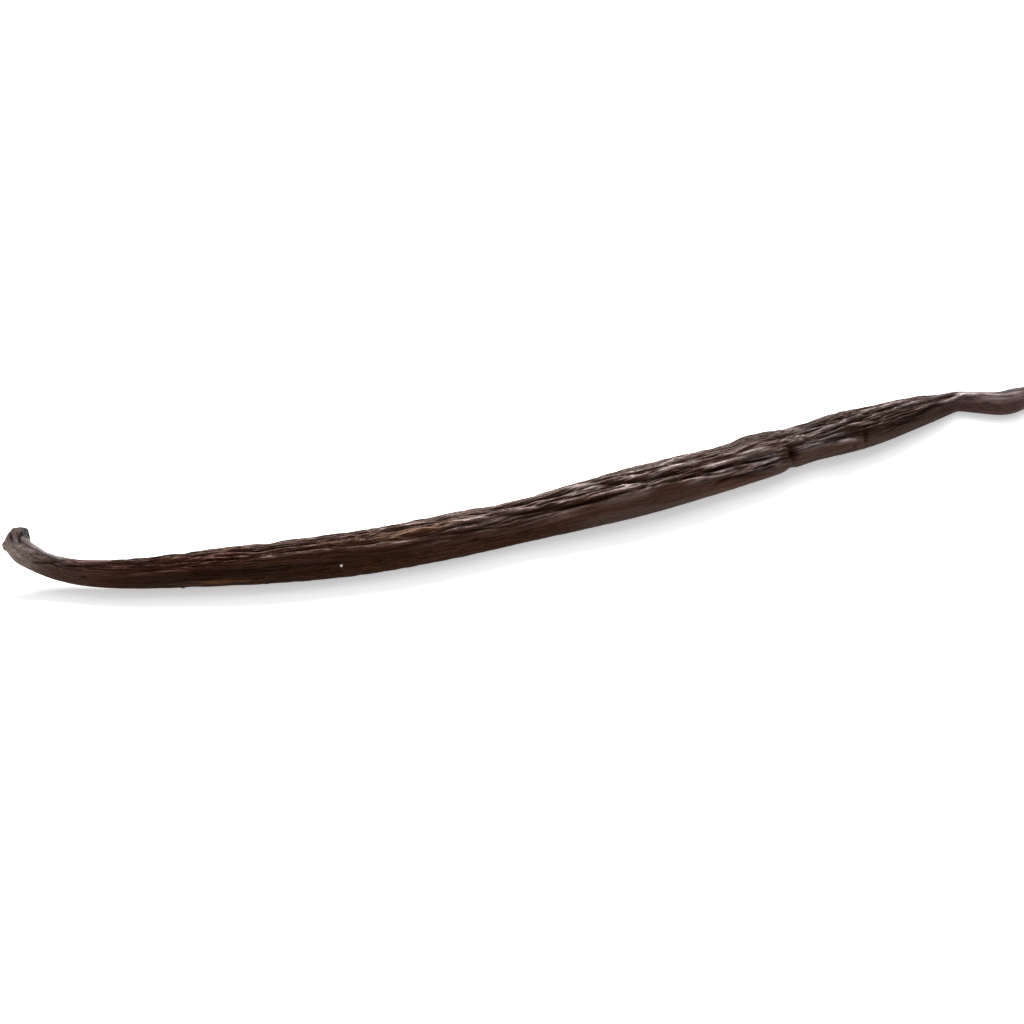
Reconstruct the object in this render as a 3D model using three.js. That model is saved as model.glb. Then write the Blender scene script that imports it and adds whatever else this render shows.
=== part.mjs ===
// A cured vanilla pod, lying on its flatter side: one long, supple, wrinkled fruit with a curled
// stem end on the left (-X) and a thin blossom end on the right (+X).
//
// Millimetres, +Z up. X runs along the pod, -Y is the side it bows towards, and Z = 0 is the table.
// A place on the skin has two coordinates: along, in millimetres of spine seen from above, and turn,
// the angle round the pod: 0 faces -Y, 90 degrees is the top, 180 faces +Y and 270 is the belly.
import * as THREE from "three";

// ---- Driving dimensions -------------------------------------------------------------------------

const LENGTH = 178.2; // along the spine
const SIDES = 48; // corners of each cross-section
const RING_STEP = 1.9; // between cross-sections
const FINE_STEP = 0.95; // between cross-sections where the pod bends or creases sharply
const FINE_STRETCHES = [
  { from: 0, to: 12 },
  { from: 126, to: 134 },
  { from: 160, to: LENGTH },
];
const BED = 0.3; // how far the belly is pressed flat against the table

// The spine seen from above: it starts at the stem end and turns by each bend, in degrees.
const STEM_END = { x: -84.32, y: 3.44, heading: -100.8 };
const BENDS = [
  { at: 0, over: 6, turn: 68.4 }, // the curled stem
  { at: 1.4, over: 25.4, turn: 25.3 },
  { at: 30.5, over: 48.5, turn: 14.8 }, // the long bow of the body
  { at: 85.7, over: 43.3, turn: 8.1 },
  { at: 127.8, over: 6.8, turn: 9 }, // the kink at the crimp
  { at: 129.7, over: 7.4, turn: -15.9 },
  { at: 138.4, over: 12.7, turn: 10.9 },
  { at: 162.9, over: 3.6, turn: -44 }, // the crooked neck of the blossom end
  { at: 170.3, over: 4.6, turn: 45.6 },
];
const SPINE_STEP = 0.25;

// How far the spine is lifted: the tip of the stem, and the slender stem third.
const LIFTS = [
  { rise: 3.4, reach: 14, power: 2 },
  { rise: 1.2, reach: 62, power: 1.5 },
];

// Mean half thickness over the crests of the folds, as [along, half thickness].
const GIRTH = [
  [0, 1.7],
  [1.2, 1.9],
  [3, 1.88],
  [6, 1.78],
  [12, 1.94],
  [20, 2.28],
  [30, 2.76],
  [40, 3.2],
  [54, 3.48],
  [72, 3.56],
  [82, 3.4],
  [98, 4.0],
  [110, 3.95],
  [118, 3.7],
  [124, 3.74],
  [132, 3.24],
  [141, 3.6],
  [148, 3.28],
  [157, 2.62],
  [163.5, 1.82],
  [168, 1.86],
  [174, 2.08],
  [LENGTH, 1.7],
];
const WIDER = 1.14; // half width over mean half thickness in the body
const FLATTER = 0.92; // half height over mean half thickness in the body
const ROUND_STEM = 30; // the section turns from round to flattened over this length

// The capsule's three faces and its flattening, which twist slowly along it.
const LOBES = [
  { count: 2, size: 0.015, reach: 30, start: 0.4 },
  { count: 3, size: 0.03, reach: 42, start: 1.9 },
];

// Wrinkles everywhere: narrow creases, that part and join, where a stretched random field is 0.
const WRINKLE = { length: 17, width: 1.25, depth: 0.38, drum: 3.6, sharpness: 4.5 };
// The wrinkles' slow sideways wandering, in radians, from another stretch of the random field.
const WANDER = { length: 19, swing: 0.3, shift: 50 };
const TWIST = 1 / 70; // radians of turn for each millimetre along
const SMOOTH_STEM = { share: 0.3, over: 45 }; // wrinkles grow from the stem
const SMOOTH_NECK = { share: 0.12, at: 158, over: 6 }; // and fade on the neck
const SMOOTH_BELLY = { share: 0.35, turn: 270, spread: 55 }; // and where the table presses
// The near flank is smoother below an upper edge. Both are [along, value], the edge in degrees.
const SMOOTH_FLANK = { share: 0.18, bottom: -96, topSoft: 14, bottomSoft: 16 };
const FLANK_EVENNESS = [
  [0, 0.3],
  [10, 0.75],
  [38, 0.65],
  [50, 0.4],
  [60, 0.3],
  [82, 0.5],
  [94, 1],
  [156, 1],
  [168, 0.3],
  [LENGTH, 0],
];
const FLANK_EDGE = [
  [0, 40],
  [66, 42],
  [86, 38],
  [98, 38],
  [104, 40],
  [108, 34],
  [112, 16],
  [116, 4],
  [121, -4],
  [126, 2],
  [130, 20],
  [136, 20],
  [141, 12],
  [146, 8],
  [152, 15],
  [160, 30],
  [LENGTH, 40],
];
// Wrinkles are also calmer round the folds that stand out.
const CALM = { share: 0.78, turn: 70, half: 63, soft: 29, from: 30, over: 30, to: 166, end: 8 };

// Folds that stand out. Each runs from its first place to its last, bowed sideways by bow degrees,
// as [from, to, first turn, last turn, bow, half width, height]. Furrows have a negative height.
const FOLDS = [
  [0.2, 2, -6, -12, 0, 0.4, 0.45], // the stem's spur, pit, groove and filled inner curve
  [0.5, 2, 62, 62, 0, 0.35, -0.4],
  [0.8, 3.3, 130, 64, 0, 0.5, -0.6],
  [1.6, 7.4, 122, 108, 0, 0.9, 0.34],
  [5.2, 10.5, 14, 84, 0, 0.34, -0.3], // stem third
  [8.5, 18, 64, 97, 4, 0.34, 0.25],
  [9.5, 17, 57, 82, 3, 0.3, -0.3],
  [12, 33, 84, 74, 0, 0.28, -0.25],
  [15, 29, 42, 48, 0, 0.42, -0.22],
  [24, 41, 75, 58, 0, 0.3, -0.26],
  [29, 39, 63, 49, 0, 0.32, 0.25],
  [30, 40, 80, 62, 0, 0.28, 0.25],
  [36, 52, 66, 70, 4, 0.28, 0.28],
  [38, 52.5, 56, 58, 3, 0.32, 0.34],
  [36, 54, 88, 90, 0, 0.5, -0.3],
  [35, 53, 18, 20, 8, 0.5, -0.28],
  [51, 60, 57, 55, -4, 0.3, 0.28],
  [60, 77, 62, 66, -4, 0.34, -0.34],
  [60, 72, 90, 94, 0, 0.28, -0.32],
  [66, 79, 101, 90, 0, 0.3, -0.3],
  [66, 78, 50, 48, -3, 0.36, -0.3],
  [67, 77, 72, 72, 4, 0.34, 0.32],
  [75, 86, 79, 66, 3, 0.3, 0.3], // the widest stretch
  [77, 91.5, 70, 50, 0, 0.34, -0.32],
  [74.5, 93.5, 104, 88, 0, 0.36, -0.62],
  [76, 95, 118, 101, 4, 0.35, 0.3],
  [82, 93, 87, 79, 0, 0.3, 0.3],
  [85, 98, 43, 44, 5, 0.32, -0.38],
  [86, 102, 65, 50, 3, 0.45, 0.32],
  [94, 106, 104, 98, 0, 0.34, 0.3],
  [94, 109, 86, 66, -8, 0.34, -0.46],
  [94, 104.5, 91, 74, 0, 0.34, 0.3],
  [102, 114, 74, 71, 9, 0.34, 0.36],
  [102.5, 111.5, 51, 58, 0, 0.3, 0.34],
  [103, 114.5, 84, 85, 11, 0.28, -0.34],
  [105, 116, 103, 120, 0, 0.36, 0.28],
  [107, 123, 44, 27, -5, 0.3, 0.34],
  [109, 121, 78, 77, 2, 0.3, 0.3], // up to the crimp and over it
  [111, 122, 56, 54, 5, 0.28, 0.36],
  [112, 119, 48, 50, 0, 0.3, -0.34],
  [113, 121.5, 36, 36, 6, 0.4, 0.26],
  [117, 126.5, 110, 135, 0, 0.34, 0.3],
  [117.5, 125, 56, 35, -3, 0.4, -0.42],
  [118, 126.5, 37, 30, -3, 0.3, 0.34],
  [118, 127.5, 79, 100, -5, 0.32, 0.34],
  [120.5, 128, 22, 29, -3, 0.3, -0.34],
  [121, 134, 76, 78, 14, 0.34, -0.4],
  [123, 137, 130, 118, 0, 0.5, 0.34],
  [126, 134.5, 98, 96, 14, 0.34, 0.36],
  [126.5, 134.5, 62, 48, 24, 0.26, 0.32],
  [132.5, 139.5, 57, 47, 0, 0.5, 0.3], // past the crimp
  [134, 146.5, 70, 101, -9, 0.3, 0.4],
  [134.5, 146.5, 62, 84, -7, 0.28, -0.36],
  [134, 141, 32, 30, 3, 0.3, -0.34],
  [136.2, 142.2, 19, 16, 5, 0.28, 0.32],
  [143.8, 154.5, 100, 106, 3, 0.3, 0.36],
  [143.8, 151, 69, 80, 0, 0.3, 0.3],
  [144.5, 156, 86, 91, 5, 0.34, -0.42],
  [145.5, 159, 128, 102, 8, 0.28, -0.34],
  [148.5, 158.5, 78, 79, 5, 0.3, 0.36],
  [152.5, 161, 36, 52, 3, 0.34, -0.36],
  [156, 166, 80, 84, 4, 0.34, -0.42], // the neck
  [156.5, 165, 82, 100, 6, 0.28, 0.38],
  [157, 166.5, 64, 78, -14, 0.28, 0.38],
  [164, 170, 82, 84, 0, 0.5, 0.3],
  [167, 176, 92, 76, 0, 0.3, 0.22],
];
const FOLD_FADE = 4; // length of each end's fade, at most a third of the fold

// Short cross creases. turn is the deepest point, slant the lean along the pod.
const CRIMPS = [
  { at: 128.5, slant: 0, turn: 31, spread: 20, length: 0.7, depth: 1.0, belt: 0.1 },
  { at: 129.2, slant: 0, turn: -45, spread: 35, length: 1.0, depth: 0.3, belt: 0 },
  { at: 142.6, slant: 0, turn: 14, spread: 22, length: 0.6, depth: 0.5, belt: 0.04 },
  { at: 141.9, slant: 0.5, turn: 88, spread: 16, length: 0.6, depth: 0.25, belt: 0 },
];

// Rings from the middle of each end face out to the skin: share of the radius, and distance along
// the spine from the rim. The cut stem is dished, and the blossom scar is a small ragged knob.
const CUT_STEM = [
  { share: 0.4, off: 0.45 },
  { share: 0.72, off: 0.25 },
  { share: 0.95, off: -0.12 },
];
const CUT_STEM_MIDDLE = 0.55;
const BLOSSOM_SCAR = [
  { share: 0.93, off: 0.4 },
  { share: 0.66, off: 0.65 },
  { share: 0.34, off: 0.25 },
];
const BLOSSOM_MIDDLE = 0.1;
const RAG = 0.12; // how uneven the rim of each end is
const CUT_SLANT = { size: 0.75, turn: 0, over: 6 }; // the stem is cut back most at this turn

// ---- Small helpers ------------------------------------------------------------------------------

const radians = THREE.MathUtils.degToRad;
const lerp = THREE.MathUtils.lerp;
const clamp01 = (u) => THREE.MathUtils.clamp(u, 0, 1);
const ease = (u) => THREE.MathUtils.smoothstep(u, 0, 1);
const bell = (u) => Math.exp(-u * u);

/** The signed angle from one turn to another, in radians, between minus and plus half a circle. */
const angleFrom = (centre, turn) => Math.atan2(Math.sin(turn - centre), Math.cos(turn - centre));

/** A smooth curve through [place, value] pairs, with each slope taken from the two neighbours. */
function through(pairs, place) {
  const last = pairs.length - 1;
  let i = 0;
  while (i < last - 1 && place >= pairs[i + 1][0]) i += 1;
  const slope = (k) => {
    const [before, after] = [Math.max(k - 1, 0), Math.min(k + 1, last)];
    return (pairs[after][1] - pairs[before][1]) / (pairs[after][0] - pairs[before][0]);
  };
  const width = pairs[i + 1][0] - pairs[i][0];
  const u = clamp01((place - pairs[i][0]) / width);
  const [u2, u3] = [u * u, u * u * u];
  return (
    (2 * u3 - 3 * u2 + 1) * pairs[i][1] +
    (u3 - 2 * u2 + u) * width * slope(i) +
    (3 * u2 - 2 * u3) * pairs[i + 1][1] +
    (u3 - u2) * width * slope(i + 1)
  );
}

/** A repeatable random number from -1 to 1 for a corner of the lattice. */
function cornerValue(i, j, k) {
  const mixed = Math.sin(i * 12.9898 + j * 78.233 + k * 37.719) * 43758.5453;
  return 2 * (mixed - Math.floor(mixed)) - 1;
}

/** A smooth random field, from -1 to 1, that joins the random values of the lattice corners. */
function randomField(x, y, z) {
  const cell = [x, y, z].map(Math.floor);
  const part = [x - cell[0], y - cell[1], z - cell[2]].map(ease);
  let sum = 0;
  for (let corner = 0; corner < 8; corner += 1) {
    const step = [corner & 1, (corner >> 1) & 1, corner >> 2];
    const share = step.reduce((product, s, axis) => product * (s ? part[axis] : 1 - part[axis]), 1);
    sum += share * cornerValue(cell[0] + step[0], cell[1] + step[1], cell[2] + step[2]);
  }
  return sum;
}

/** The random field on the pod's skin, stretched to a length along and a width round it. */
function skinField(along, turn, length, width) {
  const reach = WRINKLE.drum / width;
  return randomField(along / length, reach * Math.cos(turn), reach * Math.sin(turn));
}

// ---- The spine ----------------------------------------------------------------------------------

/** The plan heading in radians at a distance along the spine. */
function headingAt(along) {
  const turned = BENDS.reduce((sum, b) => sum + b.turn * ease((along - b.at) / b.over), 0);
  return radians(STEM_END.heading + turned);
}

/** The spine's plan points, one every SPINE_STEP, found by walking along its heading. */
function walkSpine() {
  const points = [new THREE.Vector2(STEM_END.x, STEM_END.y)];
  for (let along = SPINE_STEP / 2; along < LENGTH + SPINE_STEP; along += SPINE_STEP) {
    const heading = headingAt(along);
    const step = new THREE.Vector2(Math.cos(heading), Math.sin(heading));
    points.push(points.at(-1).clone().addScaledVector(step, SPINE_STEP));
  }
  return points;
}

const SPINE = walkSpine();

/** Half width and half height of the section. Both ends are round, and the body is flattened. */
function sectionAt(along) {
  const girth = through(GIRTH, along);
  const flat = ease(along / ROUND_STEM);
  return { wide: girth * lerp(1, WIDER, flat), tall: girth * lerp(1, FLATTER, flat) };
}

/** The spine's point at a distance along it, low enough to press the belly on the table. */
function spineAt(along) {
  const place = clamp01(along / LENGTH) * (LENGTH / SPINE_STEP);
  const i = Math.min(Math.floor(place), SPINE.length - 2);
  const plan = SPINE[i].clone().lerp(SPINE[i + 1], place - i);
  const lifts = LIFTS.map((l) => l.rise * Math.pow(clamp01(1 - along / l.reach), l.power));
  return new THREE.Vector3(plan.x, plan.y, sectionAt(along).tall - BED + lifts[0] + lifts[1]);
}

/** The section's own axes: forward along the spine, side towards -Y, and up. */
function axesAt(along) {
  const reach = 0.4;
  const forward = spineAt(Math.min(along + reach, LENGTH))
    .sub(spineAt(Math.max(along - reach, 0)))
    .normalize();
  const side = new THREE.Vector3().crossVectors(forward, new THREE.Vector3(0, 0, 1)).normalize();
  const up = new THREE.Vector3().crossVectors(side, forward);
  return { forward, side, up };
}

// ---- The skin's relief --------------------------------------------------------------------------

/** 1 where the near flank is fully smooth, 0 off it, and eased between. */
function flankAt(along, turn) {
  const away = angleFrom(0, turn);
  const above = ease((away - radians(through(FLANK_EDGE, along))) / radians(SMOOTH_FLANK.topSoft));
  const below = ease((radians(SMOOTH_FLANK.bottom) - away) / radians(SMOOTH_FLANK.bottomSoft));
  return clamp01(through(FLANK_EVENNESS, along)) * (1 - above) * (1 - below);
}

/** How much of the wrinkles is left round the folds that stand out. */
function calmAt(along, turn) {
  const off = Math.abs(angleFrom(radians(CALM.turn), turn)) - radians(CALM.half);
  const onFront = 1 - ease(off / radians(CALM.soft));
  const onStretch = ease((along - CALM.from) / CALM.over) * ease((CALM.to - along) / CALM.end);
  return lerp(1, CALM.share, onFront * onStretch);
}

/** How much of the full wrinkle depth a place has. */
function wrinkleShare(along, turn) {
  const stem = lerp(SMOOTH_STEM.share, 1, ease(along / SMOOTH_STEM.over));
  const neck = lerp(1, SMOOTH_NECK.share, ease((along - SMOOTH_NECK.at) / SMOOTH_NECK.over));
  const onBelly = bell(angleFrom(radians(SMOOTH_BELLY.turn), turn) / radians(SMOOTH_BELLY.spread));
  const belly = lerp(1, SMOOTH_BELLY.share, onBelly);
  const flank = lerp(1, SMOOTH_FLANK.share, flankAt(along, turn));
  return stem * neck * belly * flank * calmAt(along, turn);
}

/** Height of the random wrinkles, in millimetres: 0 on their crests. */
function wrinkleHeight(along, turn) {
  const wander = WANDER.swing * skinField(along + WANDER.shift, turn, WANDER.length, 2 * WRINKLE.drum);
  const moved = turn + wander + TWIST * along;
  const crest = Math.abs(skinField(along, moved, WRINKLE.length, WRINKLE.width));
  return -WRINKLE.depth * wrinkleShare(along, turn) * Math.exp(-WRINKLE.sharpness * crest);
}

/** Height of the folds that stand out, in millimetres. */
function foldHeight(along, turn) {
  const girth = through(GIRTH, along);
  return FOLDS.reduce((sum, [from, to, first, last, bow, wide, high]) => {
    if (along <= from || along >= to) return sum;
    const u = (along - from) / (to - from);
    const fade = Math.min(FOLD_FADE, (to - from) / 3);
    const share = ease((along - from) / fade) * ease((to - along) / fade);
    const centre = radians(lerp(first, last, u) + bow * Math.sin(Math.PI * u));
    return sum + high * share * bell((angleFrom(centre, turn) * girth) / wide);
  }, 0);
}

/** Depth of the cross creases, in millimetres. */
function crimpDepth(along, turn) {
  return CRIMPS.reduce((sum, c) => {
    const away = angleFrom(radians(c.turn), turn);
    const off = (along - c.at - c.slant * Math.sin(away)) / c.length;
    return sum + c.depth * bell(off) * lerp(c.belt, 1, bell(away / radians(c.spread)));
  }, 0);
}

/** How far the slanted cut pushes the stem end back, fading along the pod. */
function cutBack(along, turn, share) {
  const roundIt = 1 + share * Math.cos(turn - radians(CUT_SLANT.turn));
  return CUT_SLANT.size * roundIt * (1 - ease(along / CUT_SLANT.over));
}

/** A skin point. At an end face, share scales it towards the spine and off moves it along. */
function skinAt(along, turn, share = 1, off = 0) {
  const { forward, side, up } = axesAt(along);
  const { wide, tall } = sectionAt(along);
  const lobe = LOBES.reduce(
    (sum, l) => sum + l.size * Math.cos(l.count * turn + along / l.reach + l.start),
    1,
  );
  const [c, s] = [Math.cos(turn), Math.sin(turn)];
  const relief = wrinkleHeight(along, turn) + foldHeight(along, turn) - crimpDepth(along, turn);
  const outward = new THREE.Vector2(c / wide, s / tall).normalize().multiplyScalar(relief);
  const point = spineAt(along)
    .addScaledVector(side, share * (lobe * wide * c + outward.x))
    .addScaledVector(up, share * (lobe * tall * s + outward.y))
    .addScaledVector(forward, off + cutBack(along, turn, share));
  point.z = Math.max(point.z, 0);
  return point;
}

// ---- The closed skin ----------------------------------------------------------------------------

/** Where the cross-sections are, closer together where the pod bends or creases sharply. */
function ringPlaces() {
  const places = [0];
  while (places.at(-1) < LENGTH) {
    const along = places.at(-1);
    const fine = FINE_STRETCHES.some((f) => along >= f.from && along < f.to);
    places.push(Math.min(along + (fine ? FINE_STEP : RING_STEP), LENGTH));
  }
  return places;
}

/** The uneven rim of an end face, in millimetres along the spine. */
const ragAt = (turn) => RAG * (Math.sin(3 * turn + 0.8) + 0.6 * Math.sin(7 * turn + 2.4));

/** Every ring of the pod in order, each a list of SIDES points. */
function podRings() {
  const turns = Array.from({ length: SIDES }, (_, i) => (2 * Math.PI * i) / SIDES);
  const body = ringPlaces().map((along) => turns.map((turn) => skinAt(along, turn)));
  const endRing = (along, { share, off }) =>
    turns.map((turn) => skinAt(along, turn, share, off + share * ragAt(turn)));
  return [
    ...CUT_STEM.map((ring) => endRing(0, ring)),
    ...body,
    ...BLOSSOM_SCAR.map((ring) => endRing(LENGTH, ring)),
  ];
}

/** The closed skin: two triangles between each pair of ring corners, and a fan over each end. */
function podGeometry() {
  const rings = podRings();
  const points = rings.flat();
  const stemMiddle = points.length;
  const stemDepth = CUT_STEM_MIDDLE + CUT_SLANT.size;
  points.push(spineAt(0).addScaledVector(axesAt(0).forward, stemDepth));
  const blossomMiddle = points.length;
  points.push(spineAt(LENGTH).addScaledVector(axesAt(LENGTH).forward, BLOSSOM_MIDDLE));

  const faces = [];
  const last = rings.length - 1;
  const corner = (ring, side) => ring * SIDES + (side % SIDES);
  for (let side = 0; side < SIDES; side += 1) {
    faces.push(stemMiddle, corner(0, side), corner(0, side + 1));
    for (let ring = 0; ring < last; ring += 1) {
      const [a, b] = [corner(ring, side), corner(ring, side + 1)];
      const [c, d] = [corner(ring + 1, side), corner(ring + 1, side + 1)];
      faces.push(a, d, b, a, c, d);
    }
    faces.push(blossomMiddle, corner(last, side + 1), corner(last, side));
  }
  const geometry = new THREE.BufferGeometry().setFromPoints(points);
  geometry.setIndex(faces);
  geometry.computeVertexNormals();
  return geometry;
}

const skin = new THREE.MeshStandardMaterial({ color: 0x3a241b, roughness: 0.5, metalness: 0 });
const pod = new THREE.Mesh(podGeometry(), skin);
pod.name = "pod";

const group = new THREE.Group();
group.name = "vanilla_pod";
group.add(pod);

export default group;
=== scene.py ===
"""A cured vanilla pod: its wrinkled, oily skin, its cut stem end and its ragged blossom end.

The pod lies on a pale table. X runs along it, -Y is the side that it bows towards, Z = 0 is
the table. A place on the skin has two coordinates: along, in millimetres of spine seen from above,
and turn, the angle round the pod: 0 faces -Y, a quarter circle is the top, and three quarters is the
belly. Turns in fields and tables are in degrees. Shapes are worked out in millimetres and scaled to
metres where a mesh is made.
"""

import logging
import math
from dataclasses import dataclass, field
from enum import Enum

import bpy
import numpy as np
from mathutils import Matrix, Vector


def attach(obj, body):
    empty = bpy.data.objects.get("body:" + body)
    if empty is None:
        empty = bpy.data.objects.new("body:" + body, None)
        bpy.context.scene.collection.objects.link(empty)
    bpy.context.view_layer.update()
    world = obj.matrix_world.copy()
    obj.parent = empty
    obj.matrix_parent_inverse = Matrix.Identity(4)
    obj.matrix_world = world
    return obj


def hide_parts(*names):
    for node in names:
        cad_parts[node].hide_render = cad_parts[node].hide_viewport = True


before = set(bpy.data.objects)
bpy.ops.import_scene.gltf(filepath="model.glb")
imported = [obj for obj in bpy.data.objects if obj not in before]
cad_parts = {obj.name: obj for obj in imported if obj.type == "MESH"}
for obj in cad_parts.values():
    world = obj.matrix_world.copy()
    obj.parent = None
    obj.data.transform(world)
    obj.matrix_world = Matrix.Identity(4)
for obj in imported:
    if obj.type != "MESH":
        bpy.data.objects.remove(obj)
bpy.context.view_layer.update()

LOG = logging.getLogger("vanilla_pod")
MM = 0.001
LATTICE_WAVES = (12.9898, 78.233, 37.719)
LATTICE_SCALE = 43758.5453
LONGEST_FADE = 4.0
FADE_SHARE = 1.0 / 3.0

Curve = tuple[tuple[float, float], ...]
Colour = tuple[float, float, float, float]


# ---- Formulas -----------------------------------------------------------------------------------


def ease(u: np.ndarray | float) -> np.ndarray:
    """Rise from 0 to 1 with level ends: 3u^2 - 2u^3, with u held between 0 and 1."""
    v = np.clip(u, 0.0, 1.0)
    return v * v * (3.0 - 2.0 * v)


def bell(u: np.ndarray | float) -> np.ndarray:
    """A hump of height 1 at u = 0: e to the power of -u^2."""
    return np.exp(-np.square(u))


def blend(a: np.ndarray | float, b: np.ndarray | float, share: np.ndarray | float) -> np.ndarray:
    """The value a share of the way from a to b: a + (b - a) * share."""
    return a + (b - a) * share


def angle_from(centre: np.ndarray | float, turn: np.ndarray | float) -> np.ndarray:
    """The signed angle from centre to turn, wrapped to half a circle each way."""
    return np.arctan2(np.sin(turn - centre), np.cos(turn - centre))


def through(pairs: Curve, place: np.ndarray) -> np.ndarray:
    """A smooth curve through pairs of place and value.

    Cubic Hermite pieces, whose slope at each pair is the rise over the run between its neighbours.

    Args:
        pairs: Place and value, in order of place.
        place: Where the curve is wanted.

    Returns:
        The curve's value at each place.
    """
    knots, values = np.array(pairs).T
    order = np.arange(len(knots))
    before = np.maximum(order - 1, 0)
    after = np.minimum(order + 1, len(knots) - 1)
    slopes = (values[after] - values[before]) / (knots[after] - knots[before])
    i = np.clip(np.searchsorted(knots, place, side="right") - 1, 0, len(knots) - 2)
    width = knots[i + 1] - knots[i]
    u = np.clip((place - knots[i]) / width, 0.0, 1.0)
    u2, u3 = u * u, u * u * u
    return (
        (2 * u3 - 3 * u2 + 1) * values[i]
        + (u3 - 2 * u2 + u) * width * slopes[i]
        + (3 * u2 - 2 * u3) * values[i + 1]
        + (u3 - u2) * width * slopes[i + 1]
    )


def corner_value(i: np.ndarray, j: np.ndarray, k: np.ndarray) -> np.ndarray:
    """A repeatable random number from -1 to 1 for a lattice corner: the fraction of a large sine.

    Args:
        i: First number of the corner.
        j: Its second number.
        k: Its third number.

    Returns:
        The random number.
    """
    waves = LATTICE_WAVES
    mixed = np.sin(i * waves[0] + j * waves[1] + k * waves[2]) * LATTICE_SCALE
    return 2.0 * (mixed - np.floor(mixed)) - 1.0


def random_field(x: np.ndarray, y: np.ndarray, z: np.ndarray) -> np.ndarray:
    """A smooth random field from -1 to 1.

    Each point takes the random values of the eight lattice corners round it, each weighted by the
    product of the eased distances along the three axes.

    Args:
        x: First coordinate of each point, in lattice cells.
        y: Second coordinate.
        z: Third coordinate.

    Returns:
        The field at each point.
    """
    cells = [np.floor(axis) for axis in (x, y, z)]
    parts = [ease(axis - cell) for axis, cell in zip((x, y, z), cells)]
    total = np.zeros(np.broadcast(x, y, z).shape)
    for corner in range(8):
        steps = (corner & 1, (corner >> 1) & 1, corner >> 2)
        share = np.ones(())
        for step, part in zip(steps, parts):
            share = share * (part if step else 1.0 - part)
        total += share * corner_value(*(cell + step for cell, step in zip(cells, steps)))
    return total


# ---- Meshes -------------------------------------------------------------------------------------


def grid_faces(rows: int, columns: int) -> np.ndarray:
    """Quads of a grid that is closed round its columns, facing out where turns run anticlockwise
    as seen from the first row. Corner (r, c) has number r * columns + c.

    Args:
        rows: How many rows of points.
        columns: How many points in each row.

    Returns:
        An array of four corner numbers for each face.
    """
    row, column = np.meshgrid(np.arange(rows - 1), np.arange(columns), indexing="ij")
    after = (column + 1) % columns
    corners = (
        row * columns + column,
        (row + 1) * columns + column,
        (row + 1) * columns + after,
        row * columns + after,
    )
    return np.stack(corners, axis=-1).reshape(-1, 4)


def closed_tube(name: str, rings: np.ndarray, first: np.ndarray, last: np.ndarray) -> bpy.types.Object:
    """An object whose skin runs over rings of points and closes in a fan over each end.

    Args:
        name: The object's name.
        rings: Points in millimetres, by ring and by turn.
        first: The point that closes the first ring.
        last: The point that closes the last ring.

    Returns:
        The object, smooth shaded, with its place in its mesh.
    """
    rows, columns = rings.shape[:2]
    points = np.concatenate([rings.reshape(-1, 3), [first], [last]]) * MM
    side = np.arange(columns)
    after = (side + 1) % columns
    top = (rows - 1) * columns
    first_fan = np.stack([np.full(columns, rows * columns), side, after], axis=-1)
    last_fan = np.stack([np.full(columns, rows * columns + 1), top + after, top + side], axis=-1)
    faces = grid_faces(rows, columns).tolist() + first_fan.tolist() + last_fan.tolist()
    mesh = bpy.data.meshes.new(name)
    mesh.from_pydata(points.tolist(), [], faces)
    mesh.polygons.foreach_set("use_smooth", np.ones(len(mesh.polygons), dtype=bool))
    mesh.update()
    piece = bpy.data.objects.new(name, mesh)
    bpy.context.scene.collection.objects.link(piece)
    return piece


def put_numbers(piece: bpy.types.Object, name: str, values: np.ndarray) -> None:
    """Store one number or one vector for each point of a piece, for its material to read.

    Args:
        piece: The object.
        name: The attribute's name.
        values: One number for each point, or one row of three.
    """
    if values.ndim == 1:
        layer = piece.data.attributes.new(name, "FLOAT", "POINT")
        layer.data.foreach_set("value", values.astype(np.float32))
    else:
        layer = piece.data.attributes.new(name, "FLOAT_VECTOR", "POINT")
        layer.data.foreach_set("vector", values.astype(np.float32).ravel())


# ---- Shader maths -------------------------------------------------------------------------------


@dataclass(frozen=True)
class Socket:
    """An output socket of a shader node, on which ordinary arithmetic adds Math nodes."""

    tree: "Nodes"
    out: bpy.types.NodeSocket

    def _math(self, operation: str, *values: "Socket | float") -> "Socket":
        """Add a Math node and return its result."""
        return self.tree.add("ShaderNodeMath", {"operation": operation}, dict(enumerate(values)))

    def __add__(self, other: "Socket | float") -> "Socket":
        """self + other."""
        return self._math("ADD", self, other)

    __radd__ = __add__

    def __mul__(self, other: "Socket | float") -> "Socket":
        """self * other."""
        return self._math("MULTIPLY", self, other)

    __rmul__ = __mul__

    def __sub__(self, other: "Socket | float") -> "Socket":
        """self - other."""
        return self._math("SUBTRACT", self, other)

    def __rsub__(self, other: float) -> "Socket":
        """other - self."""
        return self._math("SUBTRACT", other, self)

    def size(self) -> "Socket":
        """The value without its sign."""
        return self._math("ABSOLUTE", self)

    def held(self) -> "Socket":
        """The value held between 0 and 1."""
        return self._math("MINIMUM", self._math("MAXIMUM", self, 0.0), 1.0)

    def spread(self, low: float, high: float) -> "Socket":
        """0 where the value is low or less, 1 where it is high or more, and eased between.

        Args:
            low: The value that gives 0.
            high: The value that gives 1.

        Returns:
            The eased value.
        """
        settings = {"interpolation_type": "SMOOTHSTEP"}
        values = {"Value": self, "From Min": low, "From Max": high}
        return self.tree.add("ShaderNodeMapRange", settings, values)


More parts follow.
